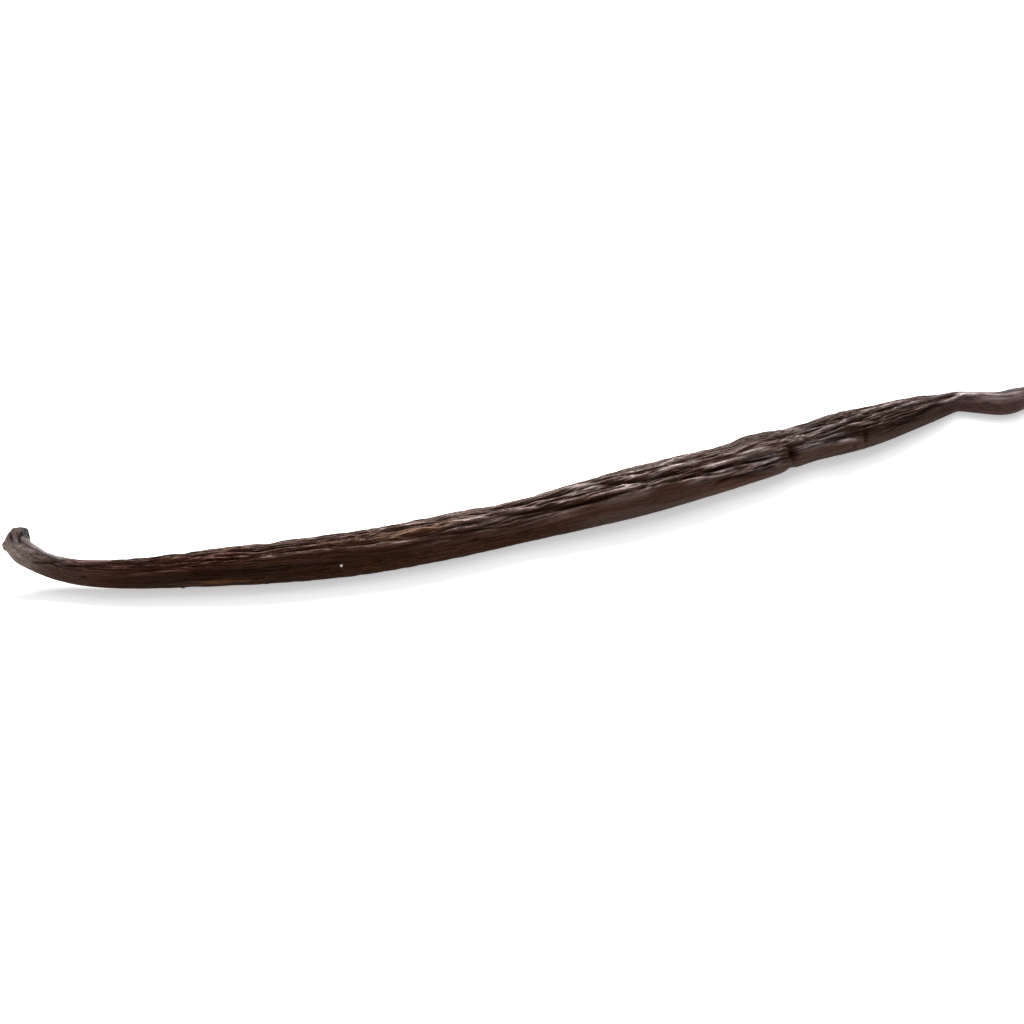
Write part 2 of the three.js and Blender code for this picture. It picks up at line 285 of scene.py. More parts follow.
class Nodes:
    """The node tree of one material, and the nodes that this file's finishes use."""

    def __init__(self, name: str) -> None:
        """Start a material with an empty tree.

        Args:
            name: The material's name.
        """
        self.material = bpy.data.materials.new(name)
        self.material.use_nodes = True
        self.tree = self.material.node_tree
        self.tree.nodes.clear()

    def add(
        self,
        kind: str,
        settings: dict[str, object] | None = None,
        values: dict[str | int, object] | None = None,
        result: str | int = 0,
    ) -> Socket:
        """Add a node.

        Args:
            kind: The node's type.
            settings: Its properties, which are set first.
            values: What each input socket gets: a socket to link, or a number, colour or vector.
            result: The output socket that is wanted.

        Returns:
            That output socket.
        """
        node = self.tree.nodes.new(kind)
        for key, value in (settings or {}).items():
            setattr(node, key, value)
        for key, value in (values or {}).items():
            if isinstance(value, Socket):
                self.tree.links.new(value.out, node.inputs[key])
            else:
                node.inputs[key].default_value = value
        return Socket(self, node.outputs[result])

    def number(self, name: str) -> Socket:
        """The number that a piece stores under name."""
        return self.add("ShaderNodeAttribute", {"attribute_name": name}, result="Fac")

    def place(self, name: str, scale: tuple[float, float, float]) -> Socket:
        """The vector that a piece stores under name, each axis times its scale."""
        stored = self.add("ShaderNodeAttribute", {"attribute_name": name}, result="Vector")
        return self.add("ShaderNodeMapping", {}, {"Vector": stored, "Scale": scale})

    def noise(self, place: Socket, detail: float, roughness: float = 0.55) -> Socket:
        """Fractal noise of one lattice cell per unit, about 0.3 to 0.7."""
        values = {"Vector": place, "Scale": 1.0, "Detail": detail, "Roughness": roughness}
        return self.add("ShaderNodeTexNoise", {}, values)

    def mix(self, share: Socket, first: object, second: object) -> Socket:
        """A colour a share of the way from the first colour to the second.

        Args:
            share: 0 for the first colour and 1 for the second.
            first: A colour or a socket.
            second: A colour or a socket.

        Returns:
            The mixed colour.
        """
        values = {"Factor": share, 6: first, 7: second}
        return self.add("ShaderNodeMix", {"data_type": "RGBA"}, values, 2)

    def layered(self, colour: Socket, *layers: tuple[Socket, object]) -> Socket:
        """The colour with others mixed over it, one after the other, each by its own share.

        Args:
            colour: The colour below.
            *layers: A share and a colour for each layer, from below.

        Returns:
            The mixed colour.
        """
        for share, over in layers:
            colour = self.mix(share, colour, over)
        return colour

    def bump(self, height: Socket, distance: float, strength: float = 1.0) -> Socket:
        """A normal that follows a height, whose full range of 1 stands for distance in metres."""
        values = {"Height": height, "Distance": distance, "Strength": strength}
        return self.add("ShaderNodeBump", {}, values)

    def finish(self, shader: Socket) -> bpy.types.Material:
        """Join the shader to the material's output and return the material.

        Args:
            shader: The finished shader.

        Returns:
            The material.
        """
        output = self.tree.nodes.new("ShaderNodeOutputMaterial")
        self.tree.links.new(shader.out, output.inputs["Surface"])
        return self.material


# ---- The pod's shape ----------------------------------------------------------------------------


@dataclass(frozen=True)
class Bend:
    """A bend of the spine in plan: it turns by turn degrees over a length, eased at both ends."""

    at: float
    over: float
    turn: float


@dataclass(frozen=True)
class Lift:
    """A rise of the spine near its stem, that falls to nothing at its reach."""

    rise: float
    reach: float
    power: float


@dataclass
class Spine:
    """The line that the pod's cross-sections are strung on."""

    length: float = 178.2
    start: tuple[float, float] = (-84.32, 3.44)
    heading: float = -100.8
    step: float = 0.25
    bed: float = 0.3
    bends: tuple[Bend, ...] = (
        Bend(0.0, 6.0, 68.4), Bend(1.4, 25.4, 25.3), Bend(30.5, 48.5, 14.8), Bend(85.7, 43.3, 8.1),
        Bend(127.8, 6.8, 9.0), Bend(129.7, 7.4, -15.9), Bend(138.4, 12.7, 10.9),
        Bend(162.9, 3.6, -44.0), Bend(170.3, 4.6, 45.6),
    )
    lifts: tuple[Lift, ...] = (Lift(3.4, 14.0, 2.0), Lift(1.2, 62.0, 1.5))
    girth: Curve = (
        (0.0, 1.7), (1.2, 1.9), (3.0, 1.88), (6.0, 1.78), (12.0, 1.94), (20.0, 2.28), (30.0, 2.76),
        (40.0, 3.2), (54.0, 3.48), (72.0, 3.56), (82.0, 3.4), (98.0, 4.0), (110.0, 3.95),
        (118.0, 3.7), (124.0, 3.74), (132.0, 3.24), (141.0, 3.6), (148.0, 3.28), (157.0, 2.62),
        (163.5, 1.82), (168.0, 1.86), (174.0, 2.08), (178.2, 1.7),
    )
    wider: float = 1.14
    flatter: float = 0.92
    round_stem: float = 30.0
    reach: float = 0.4

    def girth_at(self, along: np.ndarray) -> np.ndarray:
        """The mean half thickness over the folds' crests."""
        return through(self.girth, along)

    def wide_at(self, along: np.ndarray) -> np.ndarray:
        """Half the section's width: the girth, wider by a share that is eased in from the stem."""
        return self.girth_at(along) * blend(1.0, self.wider, ease(along / self.round_stem))

    def tall_at(self, along: np.ndarray) -> np.ndarray:
        """Half the section's height: the girth, flatter by a share that is eased in."""
        return self.girth_at(along) * blend(1.0, self.flatter, ease(along / self.round_stem))

    def plan(self, along: np.ndarray) -> np.ndarray:
        """The spine's plan points.

        The heading is the first heading and every bend's eased turn, and the path is the running
        sum of short straight steps, each along the heading at its middle.

        Args:
            along: Distances along the spine.

        Returns:
            X and Y at each distance.
        """
        middles = np.arange(self.step / 2, self.length + self.step, self.step)
        turned = sum(bend.turn * ease((middles - bend.at) / bend.over) for bend in self.bends)
        heading = np.radians(self.heading + turned)
        steps = self.step * np.stack([np.cos(heading), np.sin(heading)], axis=-1)
        path = np.concatenate([[self.start], np.array(self.start) + np.cumsum(steps, axis=0)])
        places = np.arange(len(path)) * self.step
        return np.stack([np.interp(along, places, path[:, axis]) for axis in (0, 1)], axis=-1)

    def points(self, along: np.ndarray) -> np.ndarray:
        """The spine's points: in plan, and as high as half the section less the bed, plus lifts.

        Args:
            along: Distances along the spine.

        Returns:
            X, Y and Z at each distance.
        """
        held = np.clip(along, 0.0, self.length)
        lift = sum(
            rise.rise * np.clip(1.0 - held / rise.reach, 0.0, 1.0) ** rise.power
            for rise in self.lifts
        )
        height = self.tall_at(held) - self.bed + lift
        return np.concatenate([self.plan(held), height[:, None]], axis=-1)

    def axes(self, along: np.ndarray) -> tuple[np.ndarray, np.ndarray, np.ndarray]:
        """The section's own axes.

        Forward joins two spine points a little either side, side is forward crossed with up, and
        the section's up is side crossed with forward.

        Args:
            along: Distances along the spine.

        Returns:
            The unit vectors forward, side and up at each distance.
        """
        after = self.points(np.minimum(along + self.reach, self.length))
        before = self.points(np.maximum(along - self.reach, 0.0))
        forward = after - before
        forward /= np.linalg.norm(forward, axis=-1, keepdims=True)
        side = np.cross(forward, [0.0, 0.0, 1.0])
        side /= np.linalg.norm(side, axis=-1, keepdims=True)
        return forward, side, np.cross(side, forward)


@dataclass(frozen=True)
class Fold:
    """A fold that stands out: from its first place to its last, bowed sideways by bow degrees.

    Its height across is a bell of half width wide, and it fades at both ends. A sunken fold's
    height is negative.
    """

    start: float
    stop: float
    first_turn: float
    last_turn: float
    bow: float
    wide: float
    high: float

    def height(self, along: np.ndarray, turn: np.ndarray, girth: np.ndarray) -> np.ndarray:
        """Its height at places on the skin: high, times the bell across, times the fades. A fade
        is a third of the fold long, and not over the longest.

        Args:
            along: Distances along the spine.
            turn: Angles round the pod.
            girth: The half thickness there.

        Returns:
            The height in millimetres.
        """
        u = (along - self.start) / (self.stop - self.start)
        fade = min(LONGEST_FADE, (self.stop - self.start) * FADE_SHARE)
        share = ease((along - self.start) / fade) * ease((self.stop - along) / fade)
        held = np.clip(u, 0.0, 1.0)
        centre = np.radians(
            blend(self.first_turn, self.last_turn, held) + self.bow * np.sin(np.pi * held)
        )
        return self.high * share * bell(angle_from(centre, turn) * girth / self.wide)


@dataclass(frozen=True)
class Crimp:
    """A short cross crease, deepest at one turn, leaning along the pod by its slant."""

    at: float
    slant: float
    turn: float
    spread: float
    length: float
    depth: float
    belt: float

    def drop(self, along: np.ndarray, turn: np.ndarray) -> np.ndarray:
        """Its depth at places on the skin: a bell along, times a belt and a bell round.

        Args:
            along: Distances along the spine.
            turn: Angles round the pod.

        Returns:
            The depth in millimetres.
        """
        away = angle_from(math.radians(self.turn), turn)
        off = (along - self.at - self.slant * np.sin(away)) / self.length
        return self.depth * bell(off) * blend(self.belt, 1.0, bell(away / math.radians(self.spread)))


@dataclass(frozen=True)
class Strands:
    """A layer of narrow ridges: how many round the pod, how deep and how sharp, how far they swing
    sideways, over what reach along, and how they twist round it."""

    count: int
    depth: float
    swing: float
    reach: float
    sharp: float
    twist: float


STEM_FOLDS = (
    Fold(0.2, 2.0, -6, -12, 0, 0.4, 0.45), Fold(0.5, 2.0, 62, 62, 0, 0.26, -0.4),
    Fold(0.8, 3.3, 130, 64, 0, 0.5, -0.6), Fold(1.6, 7.4, 122, 108, 0, 0.9, 0.34),
    Fold(5.2, 10.5, 14, 84, 0, 0.34, -0.3), Fold(13.2, 14.9, 20, 19, 0, 0.35, -0.3),
    Fold(8.5, 18, 64, 97, 4, 0.34, 0.25), Fold(9.5, 17, 57, 82, 3, 0.3, -0.3),
    Fold(12, 33, 84, 74, 0, 0.28, -0.25), Fold(15, 29, 42, 48, 0, 0.42, -0.22),
    Fold(23.5, 30.5, 88, 92, 0, 0.3, 0.3), Fold(24, 41, 75, 58, 0, 0.3, -0.26),
    Fold(28.2, 29.0, -50, -50, 0, 0.28, 0.18), Fold(29, 39, 63, 49, 0, 0.32, 0.25),
    Fold(30, 40, 80, 62, 0, 0.28, 0.25),
)
LOWER_FOLDS = (
    Fold(36, 52, 66, 70, 4, 0.28, 0.28), Fold(38, 52.5, 56, 58, 3, 0.32, 0.34),
    Fold(38, 52, 61, 65, 2, 0.2, -0.26), Fold(36, 54, 88, 90, 0, 0.5, -0.3),
    Fold(35, 53, 18, 20, 8, 0.5, -0.28), Fold(40.9, 41.7, -48, -48, 0, 0.28, 0.15),
    Fold(51, 60, 57, 55, -4, 0.3, 0.28), Fold(53.5, 56.5, 75, 74, 0, 0.3, 0.25),
    Fold(56.5, 62, 99, 96, 0, 0.28, 0.3), Fold(59.3, 63.5, 49, 47, 0, 0.26, 0.3),
    Fold(59.5, 68, 67, 78, 0, 0.26, 0.28), Fold(60, 67.5, 96, 104, 2, 0.28, 0.3),
    Fold(60, 77, 62, 66, -4, 0.34, -0.34), Fold(60, 72, 90, 94, 0, 0.28, -0.32),
    Fold(61, 69, 40, 44, 0, 0.26, -0.28), Fold(66, 79, 101, 90, 0, 0.3, -0.3),
    Fold(66, 78, 50, 48, -3, 0.36, -0.3), Fold(67, 77, 72, 72, 4, 0.34, 0.32),
    Fold(66, 76, 62, 52, 0, 0.3, 0.22), Fold(71, 76.5, 22, 20, 0, 0.25, -0.2),
)
MIDDLE_FOLDS = (
    Fold(75, 86, 79, 66, 3, 0.3, 0.3), Fold(77, 91.5, 70, 50, 0, 0.34, -0.32),
    Fold(74.5, 93.5, 104, 88, 0, 0.36, -0.62), Fold(76, 95, 118, 101, 4, 0.35, 0.3),
    Fold(82, 93, 87, 79, 0, 0.3, 0.3), Fold(83, 90, 23, 29, 0, 0.35, 0.15),
    Fold(85, 98, 43, 44, 5, 0.32, -0.38), Fold(86, 102, 65, 50, 3, 0.45, 0.32),
    Fold(88, 96.5, 82, 80, 0, 0.3, 0.3), Fold(94, 106, 104, 98, 0, 0.34, 0.3),
    Fold(94, 109, 86, 66, -8, 0.34, -0.46), Fold(94, 104.5, 91, 74, 0, 0.34, 0.3),
    Fold(97, 102.5, 68, 60, 0, 0.26, 0.3), Fold(98, 104.5, 96, 85, 0, 0.28, -0.3),
    Fold(102, 114, 74, 71, 9, 0.34, 0.36), Fold(102.5, 111.5, 51, 58, 0, 0.3, 0.34),
    Fold(103, 114.5, 84, 85, 11, 0.28, -0.34), Fold(105, 116, 103, 120, 0, 0.36, 0.28),
    Fold(107, 123, 44, 27, -5, 0.3, 0.34), Fold(107.5, 113.5, 50, 42, 0, 0.26, -0.32),
)
UPPER_FOLDS = (
    Fold(109, 121, 78, 77, 2, 0.3, 0.3), Fold(109.5, 117.5, 90, 86, -5, 0.28, -0.32),
    Fold(110, 119, 108, 95, 0, 0.32, 0.28), Fold(111, 122, 56, 54, 5, 0.28, 0.36),
    Fold(112, 119, 48, 50, 0, 0.3, -0.34), Fold(112, 117, 8, 21, 0, 0.4, -0.3),
    Fold(113, 121.5, 36, 36, 6, 0.4, 0.26), Fold(116.5, 120.5, 13, 7, 0, 0.3, -0.3),
    Fold(117, 126.5, 110, 135, 0, 0.34, 0.3), Fold(117.5, 125, 56, 35, -3, 0.4, -0.42),
    Fold(118, 126.5, 37, 30, -3, 0.3, 0.34), Fold(118, 127.5, 79, 100, -5, 0.32, 0.34),
    Fold(118, 126, 15, -2, 0, 0.3, 0.18), Fold(118.5, 125.5, 64, 63, 2, 0.4, 0.24),
    Fold(120.5, 128, 22, 29, -3, 0.3, -0.34), Fold(121, 134, 76, 78, 14, 0.34, -0.4),
    Fold(123, 137, 130, 118, 0, 0.5, 0.34), Fold(126, 134.5, 98, 96, 14, 0.34, 0.36),
    Fold(126.5, 134.5, 62, 48, 24, 0.26, 0.32), Fold(126, 133, 57, 57, 6, 0.22, 0.3),
    Fold(132.5, 139.5, 57, 47, 0, 0.5, 0.3), Fold(134, 146.5, 70, 101, -9, 0.3, 0.4),
    Fold(134.5, 146.5, 62, 84, -7, 0.22, -0.36), Fold(134, 141, 32, 30, 3, 0.3, -0.34),
    Fold(136.2, 142.2, 19, 16, 5, 0.28, 0.32), Fold(138.5, 142.8, 62, 61, 0, 0.26, 0.28),
)
NECK_FOLDS = (
    Fold(143.8, 154.5, 100, 106, 3, 0.3, 0.36), Fold(143.8, 151, 69, 80, 0, 0.3, 0.3),
    Fold(144.5, 156, 86, 91, 5, 0.34, -0.42), Fold(145.5, 159, 128, 102, 8, 0.28, -0.34),
    Fold(148.5, 158.5, 78, 79, 5, 0.3, 0.36), Fold(152.5, 161, 36, 52, 3, 0.34, -0.36),
    Fold(153.5, 159, 49, 63, 0, 0.3, 0.26), Fold(156, 166, 80, 84, 4, 0.34, -0.42),
    Fold(156.5, 165, 82, 100, 6, 0.28, 0.38), Fold(157, 166.5, 64, 78, -14, 0.28, 0.38),
    Fold(164, 170, 82, 84, 0, 0.5, 0.3), Fold(167, 176, 92, 76, 0, 0.3, 0.22),
)


@dataclass(frozen=True)
class Span:
    """A stretch of the pod over which something comes in: where it starts, and its length."""

    start: float
    over: float

    def risen(self, along: np.ndarray) -> np.ndarray:
        """0 before the span and 1 after it, eased between."""
        return ease((along - self.start) / self.over)

    def fallen(self, along: np.ndarray) -> np.ndarray:
        """1 before the span and 0 after it, eased between."""
        return 1.0 - self.risen(along)


@dataclass(frozen=True)
class Stir:
    """A random field that stirs the strands.

    Its size is a share of what it stirs. Its cells are length long, plus reach times the reach of
    the layer of strands, and width wide.
    """

    size: float
    shift: float
    reach: float
    length: float
    width: float


@dataclass(frozen=True)
class Crinkle:
    """A layer of short crinkles: the random field that they are the valleys of, and their depth."""

    shift: float
    length: float
    width: float
    depth: float


@dataclass
class Relief:
    """The heights of the skin's wrinkles, folds and creases, in millimetres.

    The drum is the radius on which the skin's random fields are wrapped. What ends in turn, soft,
    edge or bottom is in degrees, and calm_reach and calm_fade are in radians. A share is how much
    of the full depth is left.
    """

    drum: float = 3.6
    length: float = 17.0
    width: float = 1.25
    depth: float = 0.38
    sharp: float = 4.5
    twist: float = 1.0 / 70.0
    wander: float = 0.3
    wander_length: float = 19.0
    wander_shift: float = 50.0
    strands: tuple[Strands, ...] = (
        Strands(27, 0.3, 0.26, 21.0, 1.9, 0.016),
        Strands(49, 0.34, 0.18, 12.0, 1.4, -0.012),
    )
    drift: Stir = Stir(1.0, 90.0, 1.0, 0.0, 2.0)
    bend: Stir = Stir(0.5, 40.0, 1.0 / 3.0, 0.0, 1.3)
    wave: Stir = Stir(0.32, 0.0, 0.0, 2.6, 1.1)
    slow: Stir = Stir(0.8, 0.0, 1.0, 0.0, 1.6)
    quick: Stir = Stir(0.6, 0.0, 0.18, 0.0, 0.7)
    shallowest: float = 0.35
    strand_share: float = 0.1
    waves_from: Span = Span(45.0, 30.0)
    waves_to: Span = Span(152.0, 10.0)
    crinkles: tuple[Crinkle, ...] = (Crinkle(10.0, 1.5, 1.3, 0.09), Crinkle(30.0, 0.8, 0.9, 0.02))
    crinkle_sharp: float = 4.0
    crinkle_middle: float = 0.35
    crinkles_to: Span = Span(2.0, 11.0)
    folds: tuple[Fold, ...] = (*STEM_FOLDS, *LOWER_FOLDS, *MIDDLE_FOLDS, *UPPER_FOLDS, *NECK_FOLDS)
    crimps: tuple[Crimp, ...] = (
        Crimp(128.5, 0.0, 31, 20, 0.6, 1.0, 0.1),
        Crimp(129.2, 0.0, -45, 35, 1.0, 0.3, 0.0),
        Crimp(142.6, 0.0, 14, 22, 0.42, 0.55, 0.04),
        Crimp(140.5, 0.0, -2, 10, 0.35, 0.3, 0.0),
        Crimp(141.9, 0.5, 88, 12, 0.4, 0.25, 0.0),
    )
    evenness: Curve = (
        (0.0, 0.3), (10.0, 0.75), (38.0, 0.65), (50.0, 0.4), (60.0, 0.3), (82.0, 0.5),
        (94.0, 1.0), (156.0, 1.0), (168.0, 0.3), (178.2, 0.0),
    )
    flank_edge: Curve = (
        (0.0, 40.0), (66.0, 42.0), (86.0, 38.0), (98.0, 38.0), (104.0, 40.0), (108.0, 34.0),
        (112.0, 16.0), (116.0, 4.0), (121.0, -4.0), (126.0, 2.0), (130.0, 20.0), (136.0, 20.0),
        (141.0, 12.0), (146.0, 8.0), (152.0, 15.0), (160.0, 30.0), (178.2, 40.0),
    )
    flank_top_soft: float = 14.0
    flank_bottom: float = -96.0
    flank_bottom_soft: float = 16.0
    flank_share: float = 0.18
    calm: float = 0.22
    calm_turn: float = 70.0
    calm_reach: float = 1.1
    calm_fade: float = 0.5
    calm_from: Span = Span(30.0, 30.0)
    calm_to: Span = Span(158.0, 8.0)
    stem: Span = Span(0.0, 45.0)
    stem_share: float = 0.3
    crook: Span = Span(1.0, 9.0)
    crook_share: float = 0.15
    neck: Span = Span(158.0, 6.0)
    neck_share: float = 0.12
    neck_strand_share: float = 0.25
    belly_turn: float = 270.0
    belly_spread: float = 55.0
    belly_share: float = 0.35

    def skin_field(
        self, along: np.ndarray, turn: np.ndarray, length: float, width: float
    ) -> np.ndarray:
        """The random field on the skin, stretched to a length along and a width round.

        The turn is wrapped on a drum, so that the folds run on into the thinner ends.

        Args:
            along: Distances along the spine.
            turn: Angles round the pod.
            length: The size of a lattice cell along, in millimetres.
            width: Its size round, in millimetres.

        Returns:
            The field, from -1 to 1.
        """
        reach = self.drum / width
        return random_field(along / length, reach * np.cos(turn), reach * np.sin(turn))

    def flank_at(self, along: np.ndarray, turn: np.ndarray) -> np.ndarray:
        """How smooth the flank is: its evenness on the near flank, eased to 0 above and below.

        Args:
            along: Distances along the spine.
            turn: Angles round the pod.

        Returns:
            The smoothness, from 0 to 1.
        """
        on_stretch = np.clip(through(self.evenness, along), 0.0, 1.0)
        away = np.degrees(angle_from(0.0, turn))
        above = ease((away - through(self.flank_edge, along)) / self.flank_top_soft)
        below = ease((self.flank_bottom - away) / self.flank_bottom_soft)
        return on_stretch * (1.0 - above) * (1.0 - below)

    def calm_at(self, along: np.ndarray, turn: np.ndarray) -> np.ndarray:
        """How much of the random relief is left: less where the folds that stand out are.

        Args:
            along: Distances along the spine.
            turn: Angles round the pod.

        Returns:
            The share that is left.
        """
        away = np.abs(angle_from(math.radians(self.calm_turn), turn))
        on_front = 1.0 - ease((away - self.calm_reach) / self.calm_fade)
        on_stretch = self.calm_from.risen(along) * self.calm_to.fallen(along)
        return 1.0 - self.calm * on_front * on_stretch

    def share(self, along: np.ndarray, turn: np.ndarray) -> np.ndarray:
        """How much of the full wrinkle depth a place has: less at the stem, the neck, the belly
        and the smooth flank.

        Args:
            along: Distances along the spine.
            turn: Angles round the pod.

        Returns:
            The share of the depth.
        """
        stem = blend(self.stem_share, 1.0, self.stem.risen(along))
        neck = blend(1.0, self.neck_share, self.neck.risen(along))
        away = angle_from(math.radians(self.belly_turn), turn) / math.radians(self.belly_spread)
        belly = blend(1.0, self.belly_share, bell(away))
        flank = blend(1.0, self.flank_share, self.flank_at(along, turn))
        return stem * neck * belly * flank

    def wrinkles(self, along: np.ndarray, turn: np.ndarray) -> np.ndarray:
        """Height of the random wrinkles, 0 far from their creases.

        The creases lie where a stretched random field is 0. Their depth is e to the power of minus
        sharp times the field's absolute value. A slow field moves them sideways.

        Args:
            along: Distances along the spine.
            turn: Angles round the pod.

        Returns:
            The height in millimetres.
        """
        slow = self.skin_field(along + self.wander_shift, turn, self.wander_length, 2.0 * self.drum)
        moved = turn + self.wander * slow + self.twist * along
        away = np.abs(self.skin_field(along, moved, self.length, self.width))
        share = self.share(along, turn) * self.calm_at(along, turn)
        return -self.depth * share * np.exp(-self.sharp * away)

    def stirred(
        self, stir: Stir, layer: Strands, along: np.ndarray, turn: np.ndarray
    ) -> np.ndarray:
        """A stir's random field for one layer of strands.

        Args:
            stir: The stir.
            layer: The layer of strands.
            along: Distances along the spine.
            turn: Angles round the pod.

        Returns:
            The field times the stir's size.
        """
        length = stir.length + stir.reach * layer.reach
        return stir.size * self.skin_field(along + stir.shift, turn, length, stir.width)

    def stranded(self, along: np.ndarray, turn: np.ndarray) -> np.ndarray:
        """Height of the narrow ridges that run side by side along the whole pod, 0 on their crests.

        Across the pod each layer is half of 1 plus the cosine of its count of turns, to a power.
        Random fields move the ridges sideways and make some creases deeper than others.

        Args:
            along: Distances along the spine.
            turn: Angles round the pod.

        Returns:
            The height in millimetres.
        """
        lumpy = self.waves_from.risen(along) * self.waves_to.fallen(along)
        total = 0.0
        for layer in self.strands:
            sideways = self.stirred(self.drift, layer, along, turn)
            sideways = sideways + self.stirred(self.bend, layer, along, turn)
            sideways = sideways + lumpy * self.stirred(self.wave, layer, along, turn)
            moved = turn + layer.swing * sideways + layer.twist * along
            crest = (0.5 + 0.5 * np.cos(layer.count * moved)) ** layer.sharp
            slow = self.stirred(self.slow, layer, along + layer.count, turn)
            quick = self.stirred(self.quick, layer, along + layer.count, turn)
            gate = ease(0.5 + slow + quick)
            total = total + layer.depth * blend(self.shallowest, 1.0, gate) * (crest - 1.0)
        crook = blend(self.crook_share, 1.0, self.crook.risen(along))
        neck = blend(1.0, self.neck_strand_share, self.neck.risen(along))
        share = blend(self.strand_share, 1.0, self.share(along, turn)) * self.calm_at(along, turn)
        return total * share * crook * neck

    def crinkled(self, along: np.ndarray, turn: np.ndarray) -> np.ndarray:
        """Depth of the short crinkles of the dry stem end.

        Each layer is e to the power of minus crinkle_sharp times the absolute value of a random
        field, less its middle value.

        Args:
            along: Distances along the spine.
            turn: Angles round the pod.

        Returns:
            The depth in millimetres.
        """
        total = 0.0
        for layer in self.crinkles:
            away = np.abs(self.skin_field(along + layer.shift, turn, layer.length, layer.width))
            valley = np.exp(-self.crinkle_sharp * away) - self.crinkle_middle
            total = total + layer.depth * valley
        return self.crinkles_to.fallen(along) * total

    def folded(self, along: np.ndarray, turn: np.ndarray, girth: np.ndarray) -> np.ndarray:
        """The sum of the heights of the folds that stand out."""
        return sum(fold.height(along, turn, girth) for fold in self.folds)

    def creased(self, along: np.ndarray, turn: np.ndarray) -> np.ndarray:
        """The sum of the depths of the cross creases."""
        return sum(crimp.drop(along, turn) for crimp in self.crimps)


# ---- Marks on the skin --------------------------------------------------------------------------


@dataclass(frozen=True)
class Patch:
    """A soft-edged patch on the skin: bells of half sizes long and spread round its middle."""

    along: float
    turn: float
    long: float
    spread: float
    strength: float

    def weight(self, along: np.ndarray, turn: np.ndarray) -> np.ndarray:
        """The patch's weight at places on the skin: strength times a bell along and one round."""
        away = angle_from(math.radians(self.turn), turn) / math.radians(self.spread)
        return self.strength * bell((along - self.along) / self.long) * bell(away)


def patched(patches: tuple[Patch, ...], along: np.ndarray, turn: np.ndarray) -> np.ndarray:
    """The summed weight of patches at places on the skin, at most 1."""
    return np.minimum(sum(patch.weight(along, turn) for patch in patches), 1.0)


def lined(
    lines: tuple[Fold, ...], along: np.ndarray, turn: np.ndarray, girth: np.ndarray
) -> np.ndarray:
    """The summed heights of line-shaped marks at places on the skin, at most 1.5."""
    return np.minimum(sum(line.height(along, turn, girth) for line in lines), 1.5)


# Painted highlight: a pale band along the inner rim of the stem's crook.
PAINTED_RIM_HIGHLIGHT_LINES = (Fold(1.6, 12, 121, 102, 0, 0.95, 1.2),)
# Painted highlights: thin bright lines and soft bands along the lit crests, and the neck's highlight.
PAINTED_GLEAM_LINES = (
    Fold(24.5, 29.5, 88.5, 92, 0, 0.25, 0.5), Fold(30, 54, 120, 100, 0, 0.32, 0.7),
    Fold(37, 51.5, 56.5, 58, 3, 0.26, 1.0), Fold(57, 61, 99, 97, 0, 0.25, 0.8),
    Fold(61.5, 67, 100, 104, 0, 0.25, 0.8), Fold(69.5, 76, 73, 72, 4, 0.28, 0.7),
    Fold(76, 85, 79, 67, 3, 0.25, 0.6), Fold(76, 95, 118, 101, 4, 0.25, 0.5),
    Fold(90.5, 94.8, 108, 99, 0, 0.25, 1.0), Fold(89, 96, 82, 80, 0, 0.22, 0.8),
    Fold(94, 101, 64, 50, 4, 0.34, 0.6), Fold(97.5, 102, 68, 61, 0, 0.22, 0.9),
    Fold(103, 113, 76, 72, 7, 0.25, 1.0), Fold(105, 116, 103, 120, 0, 0.3, 0.7),
    Fold(112, 121.5, 56, 55, 5, 0.22, 1.0), Fold(119, 125.3, 64, 63, 2, 0.28, 0.7),
    Fold(112, 118, 40, 36, 3, 0.24, 0.6), Fold(116, 124, 22, 12, 2, 0.24, 0.5),
    Fold(119.5, 126.5, 37, 32, -3, 0.22, 0.6), Fold(121.5, 126, 29, 30, 0, 0.22, 0.9),
    Fold(127, 134, 104, 95, 8, 0.25, 1.0), Fold(127.5, 134, 60, 48, 22, 0.2, 0.6),
    Fold(134.5, 146, 70, 100, -9, 0.22, 0.9), Fold(137, 141.5, 20, 17, 4, 0.2, 0.6),
    Fold(143.8, 148, 104, 108, 0, 0.4, 0.7), Fold(146, 154, 101, 106, 3, 0.24, 0.9),
    Fold(150, 160, 112, 110, 3, 0.26, 0.5), Fold(150, 158.5, 79, 79, 4, 0.2, 1.0),
    Fold(157, 164.5, 83, 100, 6, 0.2, 0.9), Fold(158, 166.5, 63, 78, -13, 0.2, 1.0),
    Fold(163.8, 169, 86, 88, 0, 0.4, 1.0), Fold(168, 177, 94, 74, 0, 0.24, 0.95),
    Fold(67, 81, 62, 56, 3, 0.6, 0.5), Fold(80, 92, 40, 36, 2, 0.5, 0.45),
    Fold(92, 104, 36, 32, 3, 0.5, 0.35), Fold(95, 108, 62, 58, 4, 0.6, 0.6),
    Fold(107, 119, 34, 30, 3, 0.6, 0.4), Fold(119, 128, 18, 12, 2, 0.6, 0.4),
    Fold(119, 127, 46, 40, 0, 0.6, 0.4), Fold(128, 141, 42, 34, 0, 0.7, 0.5),
    Fold(166, 177, 74, 64, 0, 0.4, 0.35),
)
# Painted sheen: a pinkish band along the top edge near the stem.
PAINTED_ROSE_SHEEN_LINES = (
    Fold(8.5, 16.5, 64, 92, 2, 0.46, 1.2), Fold(13, 18, 86, 97, 2, 0.3, 0.6),
    Fold(9.5, 19, 110, 112, 0, 0.5, 0.8),
)

